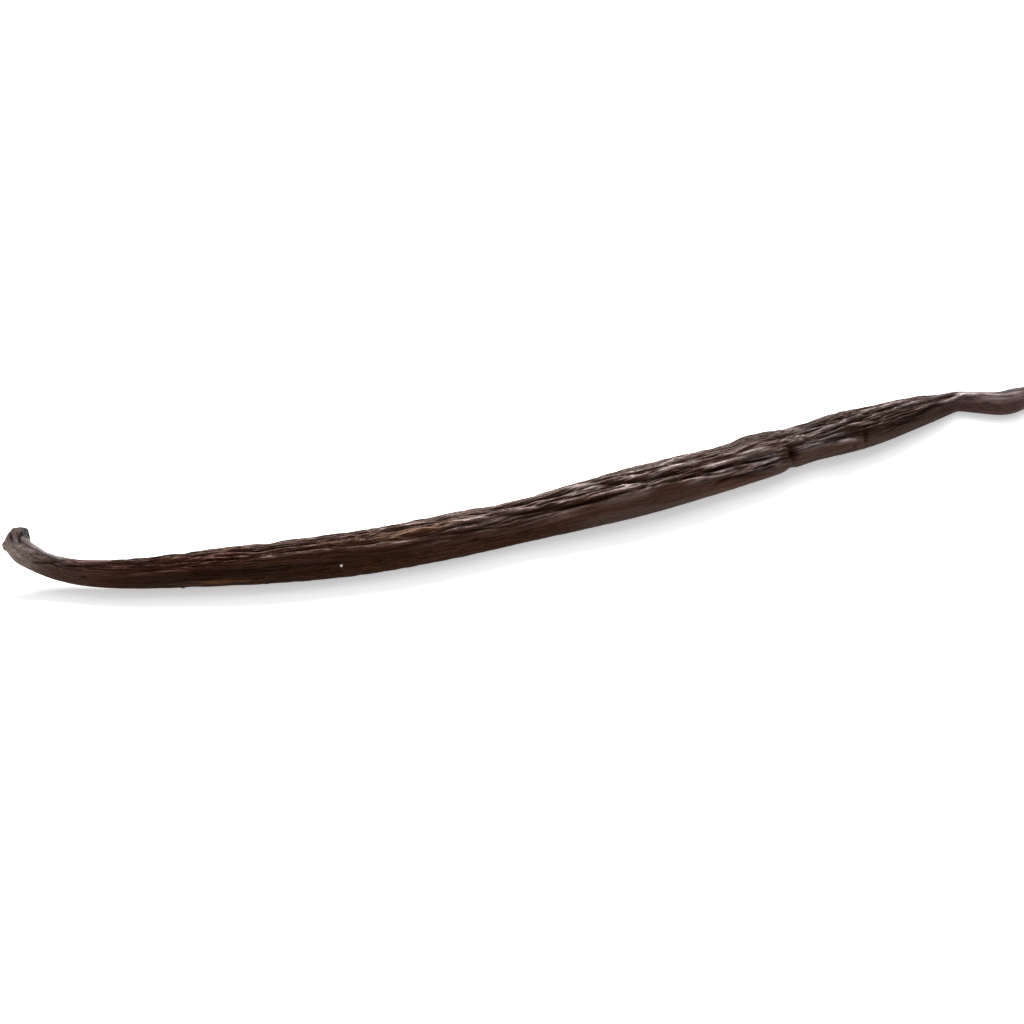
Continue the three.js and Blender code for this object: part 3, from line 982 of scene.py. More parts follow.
RUDDY_PATCHES = (
    Patch(17.0, 70.0, 11.0, 34.0, 1.0), Patch(36.0, 74.0, 14.0, 30.0, 0.9),
    Patch(118.0, 74.0, 6.0, 12.0, 0.4), Patch(12.5, 62.0, 4.0, 14.0, 0.8),
)
# Amber patches of the skin's own colour; the patch at turn -62 paints the warm glow of light through
# the thin lower edge near the stem.
AMBER_AND_GLOW_PATCHES = (
    Patch(65.0, 80.0, 4.5, 11.0, 1.2), Patch(58.0, 66.0, 7.0, 12.0, 0.55),
    Patch(49.5, 81.0, 4.5, 8.0, 0.9), Patch(30.0, -62.0, 22.0, 18.0, 1.0),
    Patch(115.0, -20.0, 5.0, 20.0, 0.3), Patch(35.0, -16.0, 6.0, 8.0, 0.9),
    Patch(62.0, -10.0, 14.0, 30.0, 0.3),
)
# The first patch is painted shade on the crook's cut cap; the second darkens the blossom tip.
SLATE_AND_SHADE_PATCHES = (
    Patch(0.6, 150.0, 2.3, 33.0, 1.1), Patch(177.0, 122.0, 4.5, 32.0, 1.0),
)
# Painted shade: small patches where the painted highlights are taken off and the skin is darkened as
# if shaded, and small shaded pits on the neck.
PAINTED_SHADE_PATCHES = (
    Patch(88.0, 116.0, 8.0, 26.0, 0.7), Patch(131.0, 116.0, 10.0, 26.0, 0.8),
    Patch(116.0, 114.0, 10.0, 22.0, 0.5), Patch(30.0, 120.0, 20.0, 30.0, 0.5),
    Patch(12.0, 122.0, 6.0, 22.0, 0.5), Patch(0.2, 75.0, 1.6, 50.0, 1.0),
    Patch(3.3, 102.0, 2.0, 22.0, 1.0), Patch(3.0, -15.0, 3.0, 14.0, 0.8),
    Patch(141.0, 108.0, 8.0, 22.0, 0.5), Patch(166.9, 54.0, 0.8, 11.0, 1.3),
    Patch(169.7, 44.0, 0.8, 10.0, 1.2),
)


@dataclass
class Marks:
    """What changes over the skin beside its relief: painted highlights and painted shade, dust and
    other colours.

    A curve gives its value along the pod. Turns are in degrees, and dust_angle is in radians.
    """

    sheen: Curve = (
        (0.0, 0.05), (20.0, 0.12), (60.0, 0.15), (90.0, 0.24), (120.0, 0.34), (150.0, 0.38),
        (162.0, 0.42), (168.0, 0.34), (178.2, 0.2),
    )
    pale_crest_and_highlight: Curve = (
        (0.0, 0.5), (12.0, 0.3), (20.0, 0.12), (55.0, 0.25), (80.0, 0.8), (110.0, 0.9),
        (122.0, 0.72), (135.0, 0.62), (178.2, 0.6),
    )
    # Painted shade: how dark the shaded lower side is, along the pod.
    painted_shade: Curve = (
        (0.0, 0.0), (10.0, 0.0), (15.0, 0.14), (20.0, 0.52), (28.0, 0.66), (50.0, 0.58),
        (65.0, 0.36), (80.0, 0.05), (90.0, 0.15), (108.0, 0.15), (120.0, 0.0), (138.0, 0.05),
        (150.0, 0.3), (160.0, 0.3), (168.0, 0.1), (178.2, 0.0),
    )
    shade_patch_share: float = 0.75
    lit_from: Curve = (
        (0.0, 0.35), (76.0, 0.3), (86.0, 0.12), (100.0, 0.15), (110.0, 0.0), (122.0, -0.05),
        (128.0, 0.1), (138.0, 0.05), (148.0, 0.2), (156.0, 0.35), (178.2, 0.3),
    )
    lit_over: float = 0.42
    back_turn: float = 100.0
    back_over: float = 25.0
    back_loss: float = 0.35
    dryness: Curve = (
        (0.0, 1.0), (3.0, 1.0), (5.0, 0.85), (7.0, 0.45), (10.0, 0.14), (14.0, 0.08),
        (20.0, 0.0), (178.2, 0.0),
    )
    dust_lean: float = 0.8
    dust_angle: float = 0.6
    crest_reach: float = 0.9
    crest_height: float = 0.5
    pit_shade: float = 1.2
    cut_from: float = 0.45
    cut_over: float = 0.5
    mauve: float = 0.8
    mauve_from: Span = Span(158.0, 7.0)
    cool_from: Span = Span(30.0, 140.0)

    def evened(self, relief: np.ndarray, girth: np.ndarray) -> np.ndarray:
        """The relief with everything narrow smoothed away round the pod.

        Each ring's Fourier terms are weighted by a bell of their number of waves times the reach
        over the girth.

        Args:
            relief: Heights by ring and side.
            girth: The half thickness of each ring, as a column.

        Returns:
            The smoothed heights.
        """
        waves = np.arange(relief.shape[1] // 2 + 1)[None, :]
        weight = bell(waves * self.crest_reach / (2.0 * girth))
        return np.fft.irfft(np.fft.rfft(relief, axis=1) * weight, n=relief.shape[1], axis=1)

    def crest(self, relief: np.ndarray, pits: np.ndarray, girth: np.ndarray) -> np.ndarray:
        """From 0 in the furrows to 1 on the crests: the relief less its evened self, and less the
        depth of the cross creases. The finish paints shade where it is low, and pale crests, partly
        painted highlights, where it is high.

        Args:
            relief: Heights by ring and side.
            pits: Depths of the cross creases.
            girth: The half thickness of each ring, as a column.

        Returns:
            The crest value by ring and side.
        """
        above = (relief - self.evened(relief, girth)) / self.crest_height
        return np.clip(0.5 + above - self.pit_shade * pits, 0.0, 1.0)

    def lit(self, along: np.ndarray, turn: np.ndarray) -> np.ndarray:
        """How far the skin is on the lit upper side: the sine of the turn, eased in above a line
        that rises and falls along the pod, and less of it behind. The painted highlights of the crests
        follow it, and the painted shade lies where it is low.

        Args:
            along: Distances along the spine.
            turn: Angles round the pod.

        Returns:
            From 0 in the shade to 1 in the light.
        """
        low = through(self.lit_from, along)
        back = ease((turn - math.radians(self.back_turn)) / math.radians(self.back_over))
        return ease((np.sin(turn) - low) / self.lit_over) * (1.0 - self.back_loss * back)

    def values(
        self,
        along: np.ndarray,
        turn: np.ndarray,
        share: np.ndarray,
        girth: np.ndarray,
    ) -> dict[str, tuple[np.ndarray, float]]:
        """What the skin's material reads, beside the crest and the evenness of the relief.

        oil is the gloss of the crests on the lit side, and pale is how pale the crests are: partly
        their own colour and partly a painted highlight on the lit side. painted_shade is painted shade
        on the shaded side and in small patches, and cool turns the ground and the painted highlights
        from warm to grey along the pod. The rest mark painted highlight and sheen lines, painted shade
        on the crook's cap, and where another colour shows; one warm patch paints the glow of light
        through the thin lower edge.

        Args:
            along: Distances along the spine, as a column.
            turn: Angles round the pod, as a row.
            share: Share of the radius, as a column.
            girth: The half thickness, as a column.

        Returns:
            For each name, its values by ring and side, and its value at the two end points.
        """
        # shade patches take off the painted highlights and add painted shade
        shade_patch = patched(PAINTED_SHADE_PATCHES, along, turn)
        upper = self.lit(along, turn)
        lit = upper * (1.0 - shade_patch)
        painted_shade = through(self.painted_shade, along) * (1.0 - upper) + self.shade_patch_share * shade_patch
        lean = self.dust_lean * np.cos(turn - self.dust_angle)
        return {
            "oil": (through(self.sheen, along) * lit, 0.2),
            # pale crests: partly their own colour, partly a painted highlight on the lit side
            "pale": (through(self.pale_crest_and_highlight, along) * lit, 0.3),
            "painted_shade": (painted_shade, 0.0),
            "cool": (self.cool_from.risen(along), 1.0),
            "painted_gleam": (lined(PAINTED_GLEAM_LINES, along, turn, girth), 0.0),
            "painted_rose_sheen": (lined(PAINTED_ROSE_SHEEN_LINES, along, turn, girth), 0.0),
            "painted_rim_highlight": (lined(PAINTED_RIM_HIGHLIGHT_LINES, along, turn, girth), 0.0),
            # amber patches, and one painted glow of light through the thin lower edge near the stem
            "warm": (patched(AMBER_AND_GLOW_PATCHES, along, turn), 0.0),
            "ruddy": (patched(RUDDY_PATCHES, along, turn), 0.0),
            "slate_and_shade": (patched(SLATE_AND_SHADE_PATCHES, along, turn), 0.0),
            "mauve": (self.mauve * self.mauve_from.risen(along), 0.5),
            "dust": (through(self.dryness, along + lean), 0.3),
            "cut": (1.0 - ease((share - self.cut_from) / self.cut_over), 1.0),
        }


# ---- The pod ------------------------------------------------------------------------------------


@dataclass(frozen=True)
class Lobe:
    """A wave round the section: how many waves, their size and phase, and how far along the pod
    it is until they have turned by a radian."""

    count: int
    size: float
    phase: float
    length: float = math.inf

    def angle(self, along: np.ndarray | float, turn: np.ndarray) -> np.ndarray:
        """The wave's own angle at places on the skin."""
        return self.count * turn + along / self.length + self.phase


@dataclass(frozen=True)
class EndRing:
    """A ring of an end face: its share of the radius, and how far it is past the rim."""

    share: float
    off: float


@dataclass
class Pod:
    """The whole pod: one closed skin, with a dished cut at the stem and a knob at the blossom.

    Each stretch of the body has its start, its end and the step between its rings. The cut at the
    stem is slanted, and the slant fades along the pod. Both cut rims are ragged.
    """

    spine: Spine = field(default_factory=Spine)
    relief: Relief = field(default_factory=Relief)
    marks: Marks = field(default_factory=Marks)
    sides: int = 232
    stretches: tuple[tuple[float, float, float], ...] = (
        (0.0, 12.0, 0.26), (12.0, 124.0, 0.47), (124.0, 134.0, 0.32), (134.0, 141.5, 0.47),
        (141.5, 143.8, 0.3), (143.8, 178.2, 0.47),
    )
    lobes: tuple[Lobe, ...] = (Lobe(2, 0.015, 0.4, 30.0), Lobe(3, 0.03, 1.9, 42.0))
    rag: float = 0.12
    rag_waves: tuple[Lobe, ...] = (Lobe(3, 1.0, 0.8), Lobe(7, 0.6, 2.4))
    slant: float = 0.75
    slant_fade: float = 6.0
    cut_stem: tuple[EndRing, ...] = (
        EndRing(0.2, 0.52),
        EndRing(0.4, 0.45),
        EndRing(0.72, 0.25),
        EndRing(0.95, -0.12),
    )
    cut_middle: float = 0.55
    scar: tuple[EndRing, ...] = (EndRing(0.93, 0.4), EndRing(0.66, 0.65), EndRing(0.34, 0.25))
    scar_middle: float = 0.1

    def relief_at(self, along: np.ndarray, turn: np.ndarray) -> np.ndarray:
        """All the relief: wrinkles, ridges and folds, less the crinkles and cross creases.

        Args:
            along: Distances along the spine.
            turn: Angles round the pod.

        Returns:
            The height in millimetres.
        """
        girth = self.spine.girth_at(along)
        return (
            self.relief.wrinkles(along, turn)
            + self.relief.stranded(along, turn)
            + self.relief.folded(along, turn, girth)
            - self.relief.crinkled(along, turn)
            - self.relief.creased(along, turn)
        )

    def skin(
        self, along: np.ndarray, turn: np.ndarray, share: np.ndarray, off: np.ndarray
    ) -> np.ndarray:
        """Skin points.

        The spine's point, plus the section's ellipse times 1 and its lobes' cosines, plus the
        relief along the ellipse's outward direction, both times share, plus off along the spine.
        Nothing is below the table.

        Args:
            along: Distances along the spine, one for each ring.
            turn: Angles round the pod, one for each side.
            share: Share of the radius for each ring.
            off: Distance past the ring, for each ring and side.

        Returns:
            Points in millimetres, by ring and side.
        """
        forward, side, up = (axis[:, None, :] for axis in self.spine.axes(along))
        wide = self.spine.wide_at(along)[:, None]
        tall = self.spine.tall_at(along)[:, None]
        s, t = along[:, None], turn[None, :]
        lobe = 1.0 + sum(wave.size * np.cos(wave.angle(s, t)) for wave in self.lobes)
        out = np.stack([np.cos(t) / wide, np.sin(t) / tall])
        out = out / np.linalg.norm(out, axis=0) * self.relief_at(s, t)
        across = share[:, None] * (lobe * wide * np.cos(t) + out[0])
        upward = share[:, None] * (lobe * tall * np.sin(t) + out[1])
        points = (
            self.spine.points(along)[:, None, :]
            + side * across[..., None]
            + up * upward[..., None]
            + forward * off[..., None]
        )
        points[..., 2] = np.maximum(points[..., 2], 0.0)
        return points

    def rag_at(self, turn: np.ndarray) -> np.ndarray:
        """The uneven rim of an end face: sines round it."""
        return self.rag * sum(wave.size * np.sin(wave.angle(0.0, turn)) for wave in self.rag_waves)

    def slant_at(self, along: np.ndarray, turn: np.ndarray, share: np.ndarray) -> np.ndarray:
        """How far the slanted cut pushes the stem end back: a cosine round it, fading along."""
        round_it = 1.0 + share * np.cos(turn)
        return self.slant * round_it * (1.0 - ease(along / self.slant_fade))

    def ring_places(self) -> np.ndarray:
        """The places of the body's rings: evenly spaced in each stretch, by about its step.

        Returns:
            Distances along the spine.
        """
        parts = [
            np.linspace(start, stop, round((stop - start) / step), endpoint=False)
            for start, stop, step in self.stretches
        ]
        return np.concatenate([*parts, [self.spine.length]])

    def build(self) -> bpy.types.Object:
        """Make the pod's mesh with what its material reads.

        Returns:
            The pod.
        """
        length = self.spine.length
        turn = np.arange(self.sides) * 2 * np.pi / self.sides
        body = self.ring_places()
        full, none = np.ones(len(body)), np.zeros(len(body))
        stem, scar = len(self.cut_stem), len(self.scar)
        along = np.concatenate([np.zeros(stem), body, np.full(scar, length)])
        on_end = np.concatenate([np.ones(stem), none, np.ones(scar)])
        share = np.concatenate([[r.share for r in self.cut_stem], full, [r.share for r in self.scar]])
        off = np.concatenate([[r.off for r in self.cut_stem], none, [r.off for r in self.scar]])
        ragged = off[:, None] + (on_end * share)[:, None] * self.rag_at(turn)[None, :]
        ragged = ragged + self.slant_at(along[:, None], turn[None, :], share[:, None])
        rings = self.skin(along, turn, share, ragged)
        ends = self.spine.points(np.array([0.0, length]))
        forward = self.spine.axes(np.array([0.0, length]))[0]
        middles = ends + forward * np.array([[self.cut_middle + self.slant], [self.scar_middle]])
        piece = closed_tube("pod_skin", rings, middles[0], middles[1])
        self.store(piece, along, turn, share)
        return piece

    def store(
        self, piece: bpy.types.Object, along: np.ndarray, turn: np.ndarray, share: np.ndarray
    ) -> None:
        """Store on the mesh what the skin's material reads.

        straight is the place on the pod pulled straight, on a drum, in millimetres. crest is 0 in
        the furrows and 1 on the crests, and even is 1 on the smooth flank. The marks give the
        rest.

        Args:
            piece: The pod.
            along: Distances along the spine, one for each ring.
            turn: Angles round the pod, one for each side.
            share: Share of the radius for each ring.
        """
        s, t = along[:, None], turn[None, :]
        full = np.ones((len(along), len(turn)))
        girth = self.spine.girth_at(s)
        reach = self.relief.drum * share[:, None]
        straight = np.stack([s * full, reach * np.cos(t), reach * np.sin(t)], axis=-1)
        ends = [[0.0, 0.0, 0.0], [self.spine.length, 0.0, 0.0]]
        put_numbers(piece, "straight", np.concatenate([straight.reshape(-1, 3), ends]))
        pits = self.relief.creased(s, t)
        ridges = (self.relief_at(s, t) + pits) * full
        values = self.marks.values(s, t, share[:, None], girth)
        values["crest"] = (self.marks.crest(ridges, pits, girth), 0.5)
        values["even"] = (self.relief.flank_at(s, t), 0.0)
        for name, (value, end) in values.items():
            held = np.maximum(value * full, 0.0)
            put_numbers(piece, name, np.concatenate([held.ravel(), [end, end]]))
        LOG.info("girth from %.1f to %.1f mm", girth.min(), girth.max())


# ---- Finishes -----------------------------------------------------------------------------------


@dataclass(frozen=True)
class Noise:
    """Fractal noise on the pod pulled straight: its cells in a millimetre along and across.

    Detail and roughness are the noise node's own. Low and high are where it is eased from 0 to 1.
    """

    along: float
    across: float
    detail: float
    roughness: float = 0.55
    low: float = 0.0
    high: float = 1.0

    def raw(self, tree: Nodes) -> Socket:
        """The noise itself, about 0.3 to 0.7."""
        place = tree.place("straight", (self.along, self.across, self.across))
        return tree.noise(place, self.detail, self.roughness)

    def eased(self, tree: Nodes) -> Socket:
        """0 where the noise is low or less, 1 where it is high or more, and eased between."""
        return self.raw(tree).spread(self.low, self.high)

    def away(self, tree: Nodes) -> Socket:
        """How far the noise is from 0.5, its middle: 0 on thin winding lines."""
        return (self.raw(tree) - 0.5).size()


@dataclass(frozen=True)
class SkinMaps:
    """Sockets that several parts of the skin's finish read: stored numbers and noises."""

    crest: Socket
    top: Socket
    even: Socket
    cool: Socket
    painted_shade: Socket
    dust: Socket
    slate_and_shade: Socket
    painted_gleam: Socket
    mottle: Socket
    striae: Socket
    broken: Socket
    lines: Socket
    hair: Socket
    cloud: Socket
    crease: Socket
    groove: Socket
    crumpled: Socket


@dataclass(frozen=True)
class SkinFinish:
    """Dark, oily, wrinkled skin: painted near-black shade in the folds, brown crests with painted
    highlights, warm in patches.
    """

    # deep colours dark streaks, the pith, and the painted shade of the shaded side and of the dust.
    deep: Colour = (0.008, 0.0026, 0.0012, 1.0)
    # Painted shade in the grooves and between the crests.
    crease_shade: Colour = (0.02, 0.006, 0.0022, 1.0)
    brown: Colour = (0.05, 0.018, 0.009, 1.0)
    umber: Colour = (0.046, 0.0245, 0.018, 1.0)
    russet: Colour = (0.058, 0.021, 0.011, 1.0)
    # Pale crests, partly their own colour and partly a painted highlight: warm near the stem, grey
    # towards the neck.
    rosy_crest_and_highlight: Colour = (0.225, 0.125, 0.095, 1.0)
    amber: Colour = (0.2, 0.085, 0.035, 1.0)
    ruddy: Colour = (0.125, 0.044, 0.03, 1.0)
    lilac_crest_and_highlight: Colour = (0.33, 0.237, 0.21, 1.0)
    # Painted highlight lines.
    painted_gleam: Colour = (0.47, 0.38, 0.375, 1.0)
    dun: Colour = (0.085, 0.054, 0.043, 1.0)
    # Painted pinkish sheen of the top edge near the stem.
    painted_rose_sheen: Colour = (0.17, 0.08, 0.07, 1.0)
    dusty: Colour = (0.4, 0.315, 0.285, 1.0)
    # The dark end of the dust's colour, also where the painted shade falls on it.
    dark_and_shaded_dust: Colour = (0.13, 0.094, 0.081, 1.0)
    # Painted highlight along the crook's inner rim.
    painted_rim_highlight: Colour = (0.21, 0.185, 0.187, 1.0)
    # Painted shade on the crook's cap, and the dark blue-grey blossom tip.
    slate_and_shade: Colour = (0.026, 0.027, 0.031, 1.0)
    mauve: Colour = (0.104, 0.061, 0.058, 1.0)
    pith: Colour = (0.085, 0.066, 0.058, 1.0)
    tint: Colour = (1.0, 0.62, 0.45, 1.0)

    mottle: Noise = Noise(0.12, 0.3, 4.0)
    blush: Noise = Noise(0.07, 0.5, 3.0, low=0.45, high=0.65)
    bands: Noise = Noise(0.05, 0.75, 3.0, low=0.45, high=0.7)
    striae: Noise = Noise(0.35, 3.2, 5.0, 0.6)
    grain: Noise = Noise(2.6, 4.5, 3.0)
    broken: Noise = Noise(0.55, 1.6, 3.0, 0.6, 0.35, 0.55)
    crinkle: Noise = Noise(0.7, 0.85, 2.5, low=0.0, high=0.2)
    lines: Noise = Noise(0.2, 2.8, 4.0, 0.6, 0.47, 0.6)
    crease: Noise = Noise(0.45, 2.2, 3.0, 0.65, 0.0, 0.05)
    hair: Noise = Noise(0.3, 5.0, 2.0, 0.6, 0.4, 0.6)
    cloud: Noise = Noise(1.7, 1.5, 3.0, low=0.35, high=0.62)

    crest_foot_shade: tuple[float, float] = (0.02, 0.4)
    crest_top: tuple[float, float] = (0.55, 0.95)
    painted_rose_sheen_share: float = 0.9
    painted_gleam_share: float = 0.75
    amber_share: float = 0.8
    dust_share: float = 0.95
    dust_shade_share: float = 0.6
    painted_rim_highlight_share: float = 0.85
    crease_shade_share: float = 0.82
    bend_of_light: float = 1.45
    specular: float = 0.09
    coat_roughness: float = 0.2
    bump_height: float = 0.0003
    bump_strength: float = 0.9

    def read(self, tree: Nodes) -> SkinMaps:
        """Add the stored numbers and the noises that several parts of the finish read.

        Args:
            tree: The material's tree.

        Returns:
            Their sockets. A groove is a thin line of the crease noise, and fainter on the even
            flank. A painted highlight line is broken up along its length.
        """
        crest = tree.number("crest")
        even = tree.number("even")
        broken = self.broken.eased(tree)
        hair = self.hair.eased(tree)
        crease = self.crease.away(tree)
        crinkle = self.crinkle.away(tree)
        return SkinMaps(
            crest=crest,
            top=crest.spread(*self.crest_top),
            even=even,
            cool=tree.number("cool"),
            painted_shade=tree.number("painted_shade"),
            dust=tree.number("dust"),
            slate_and_shade=tree.number("slate_and_shade"),
            painted_gleam=tree.number("painted_gleam") * (0.25 + 0.45 * broken + 0.35 * hair),
            mottle=self.mottle.raw(tree),
            striae=self.striae.raw(tree),
            broken=broken,
            lines=self.lines.eased(tree),
            hair=hair,
            cloud=self.cloud.eased(tree),
            crease=crease,
            groove=(1.0 - crease.spread(self.crease.low, self.crease.high)) * (1.0 - 0.6 * even),
            crumpled=crinkle.spread(self.crinkle.low, self.crinkle.high),
        )

    def ground(self, tree: Nodes, maps: SkinMaps) -> Socket:
        """The skin's own colours, from the brown of the stem end to the purplish neck.

        Args:
            tree: The material's tree.
            maps: Its shared sockets.

        Returns:
            Brown to umber along the pod, with russet, ruddy and dun parts, dark streaks, mauve at
            the neck, and painted shade on the shaded side and in small shaded patches.
        """
        blush = self.blush.eased(tree) * (1.0 - 0.6 * maps.cool)
        ruddy = tree.number("ruddy") * maps.mottle.spread(0.3, 0.55)
        bands = self.bands.eased(tree) * (0.25 + 0.45 * maps.even)
        streak = maps.striae.spread(0.35, 0.7) * (0.6 - 0.3 * maps.even)
        mauve = tree.number("mauve") * (0.5 + 0.5 * maps.mottle)
        return tree.layered(
            tree.mix(maps.cool, self.brown, self.umber),
            (blush, self.russet),
            (ruddy, self.ruddy),
            (bands, self.dun),
            (streak, self.deep),
            (mauve, self.mauve),
            # painted shade on the shaded side and in the shade patches
            (maps.painted_shade.held(), self.deep),
        )

    def crest_highlights(self, tree: Nodes, maps: SkinMaps, colour: Socket) -> Socket:
        """The colour with its pale crests, partly a painted highlight, painted sheen and highlight
        lines, and amber patches, one of which paints a glow of light through the thin lower edge.

        Args:
            tree: The material's tree.
            maps: Its shared sockets.
            colour: The colour below.

        Returns:
            The colour with them. The painted highlights turn from warm to grey along the pod.
        """
        pale = maps.top * tree.number("pale") * (0.45 + 0.9 * maps.lines * maps.broken)
        pale = pale * (1.0 - 0.7 * maps.even) * (0.55 + 0.6 * maps.hair)
        crest_highlights = tree.mix(maps.cool, self.rosy_crest_and_highlight, self.lilac_crest_and_highlight)
        # amber patches, and one painted glow of light through the thin lower edge
        amber = tree.number("warm") * maps.striae.spread(0.4, 0.6)
        return tree.layered(
            colour,
            # painted highlights on the lit crests, partly pale crests of their own
            (pale.held(), crest_highlights),
            ((tree.number("painted_rose_sheen") * self.painted_rose_sheen_share).held(), self.painted_rose_sheen),
            ((self.painted_gleam_share * maps.painted_gleam).held(), tree.mix(maps.cool, crest_highlights, self.painted_gleam)),
            ((amber * self.amber_share).held(), self.amber),
        )

    def dusted(self, tree: Nodes, maps: SkinMaps, colour: Socket) -> Socket:
        """The colour under the stem end's cloudy dust, which the painted shade darkens, and the
        painted highlight along the crook's inner rim.

        Args:
            tree: The material's tree.
            maps: Its shared sockets.
            colour: The colour below.

        Returns:
            The colour with them.
        """
        # dust is darker under the painted shade
        light = (0.15 + 0.6 * maps.cloud + 0.35 * maps.crumpled) * (1.0 - maps.painted_shade.held())
        dry = tree.mix(light.held(), self.dark_and_shaded_dust, self.dusty)
        rim = tree.number("painted_rim_highlight") * (0.6 + 0.4 * maps.cloud)
        return tree.layered(
            colour,
            (maps.dust * self.dust_share, dry),
            (maps.dust * (self.dust_shade_share * maps.painted_shade).held(), self.deep),
            ((self.painted_rim_highlight_share * rim).held(), self.painted_rim_highlight),
        )

    def crease_shaded(self, tree: Nodes, maps: SkinMaps, colour: Socket) -> Socket:
        """The colour with painted shade in the grooves, fainter on the painted highlight lines, and in
        the feet between the crests.

        Args:
            tree: The material's tree.
            maps: Its shared sockets.
            colour: The colour below.

        Returns:
            The colour with them.
        """
        # painted shade in the grooves and the feet between the crests
        groove = maps.groove * (0.6 - 0.55 * maps.dust) * (1.0 - 0.6 * maps.painted_gleam.held())
        crease_shade = (1.0 - maps.crest.spread(*self.crest_foot_shade)) * (1.0 - 0.2 * maps.dust)
        return tree.layered(
            colour, (groove, self.crease_shade), (crease_shade * self.crease_shade_share, self.crease_shade)
        )

    def ended(self, tree: Nodes, maps: SkinMaps, colour: Socket) -> Socket:
        """The colour with painted shade on the crook's cap, a dark blue-grey blossom tip, and the pith
        of the cut.

        Args:
            tree: The material's tree.
            maps: Its shared sockets.
            colour: The colour below.

        Returns:
            The colour with them.
        """
        cut = tree.number("cut")
        pith = tree.mix(0.8 * maps.cloud + 0.2 * maps.crumpled, self.deep, self.pith)
        # painted shade on the crook's cap, and the dark blossom tip
        slate_and_shade = (maps.slate_and_shade * (0.7 + 1.3 * maps.cloud)).held()
        return tree.layered(colour, (slate_and_shade, self.slate_and_shade), (cut * (0.8 + 0.2 * cut), pith))

    def gloss(self, tree: Nodes, maps: SkinMaps) -> Socket:
        """The oily coat: strongest on the crests between grooves and on gleams, none on dust.

        Args:
            tree: The material's tree.
            maps: Its shared sockets.

        Returns:
            The coat's weight.
        """
        glint = maps.top * (0.25 + maps.lines) * (1.0 - maps.groove) * (0.4 + 0.6 * maps.hair)
        shine = 0.12 + 1.35 * glint + 0.8 * maps.painted_gleam
        return tree.number("oil") * shine * (1.0 - maps.dust) * (1.0 - maps.slate_and_shade).held()

    def height(self, tree: Nodes, maps: SkinMaps) -> Socket:
        """The finest relief: creases, striae and grain, and crinkles where there is dust.

        Args:
            tree: The material's tree.
            maps: Its shared sockets.

        Returns:
            The height, for the bump.
        """
        creases = (2.6 - 2.0 * maps.even) * maps.crease
        striae = (1.1 - 0.6 * maps.even) * maps.striae
        height = creases + striae + 0.3 * self.grain.raw(tree)
        return height * (1.0 - 0.6 * maps.dust) + 0.5 * maps.dust * maps.crumpled

    def build(self) -> bpy.types.Material:
        """Make the material.

        Returns:
            The skin material.
        """
        tree = Nodes("pod_skin_finish")
        maps = self.read(tree)
        colour = self.crest_highlights(tree, maps, self.ground(tree, maps))
        colour = self.crease_shaded(tree, maps, self.dusted(tree, maps, colour))
        roughness = 0.36 + 0.16 * maps.mottle + 0.25 * maps.dust
        normal = tree.bump(self.height(tree, maps), self.bump_height, self.bump_strength)
        values = {
            "Base Color": self.ended(tree, maps, colour),
            "Roughness": roughness.held(),
            "IOR": self.bend_of_light,
            "Specular IOR Level": self.specular,
            "Specular Tint": self.tint,
            "Coat Weight": self.gloss(tree, maps).held(),
            "Coat Roughness": self.coat_roughness,
            "Coat IOR": self.bend_of_light,
            "Normal": normal,
        }
        return tree.finish(tree.add("ShaderNodeBsdfPrincipled", {}, values))


@dataclass(frozen=True)
class CrumbFinish:
    """A grain of white vanillin crystal: bright, rough and a little cloudy."""

    pale: Colour = (0.82, 0.80, 0.76, 1.0)
    cloudy: Colour = (0.62, 0.59, 0.54, 1.0)
    cells: float = 4000.0
    bump_height: float = 0.00003

    def build(self) -> bpy.types.Material:
        """Make the material.

        Returns:
            The crumb's material.
        """
        tree = Nodes("crumb_finish")
        place = tree.add("ShaderNodeTexCoord", {}, result="Object")
        moved = tree.add("ShaderNodeMapping", {}, {"Vector": place, "Scale": (self.cells,) * 3})
        cloud = tree.noise(moved, 3.0)
        values = {
            "Base Color": tree.mix(cloud.spread(0.4, 0.65), self.pale, self.cloudy),
            "Roughness": 0.45 + 0.3 * cloud,
            "Normal": tree.bump(cloud, self.bump_height),
        }
        return tree.finish(tree.add("ShaderNodeBsdfPrincipled", {}, values))


@dataclass(frozen=True)
class TableFinish:
    """A plain white table, which shines a little of its own light."""

    white: Colour = (0.86, 0.86, 0.865, 1.0)
    roughness: float = 0.55
    specular: float = 0.3
    glow: float = 0.54

    def build(self) -> bpy.types.Material:
        """Make the material.

        Returns:
            The table's material.
        """
        tree = Nodes("table_finish")
        values = {
            "Base Color": self.white,
            "Roughness": self.roughness,
            "Specular IOR Level": self.specular,
            "Emission Color": self.white,
            "Emission Strength": self.glow,
        }
        return tree.finish(tree.add("ShaderNodeBsdfPrincipled", {}, values))


# ---- The studio ---------------------------------------------------------------------------------


class Kind(Enum):
    """What a studio light is for."""

    KEY = "key"
    FILL = "fill"


@dataclass(frozen=True)
class SoftLight:
    """A soft, square studio light that looks at the pod."""

    kind: Kind
    place: tuple[float, float, float]
    size: float
    watts: float

    def build(self, target: Vector) -> None:
        """Hang the light and turn it to its target.

        Args:
            target: The point that it looks at.
        """
        light = bpy.data.lights.new(f"{self.kind.value}_light", "AREA")
        light.shape = "SQUARE"
        light.size = self.size
        light.energy = self.watts
        holder = bpy.data.objects.new(light.name, light)
        holder.location = self.place
        holder.rotation_euler = (target - Vector(self.place)).to_track_quat("-Z", "Y").to_euler()
        bpy.context.scene.collection.objects.link(holder)


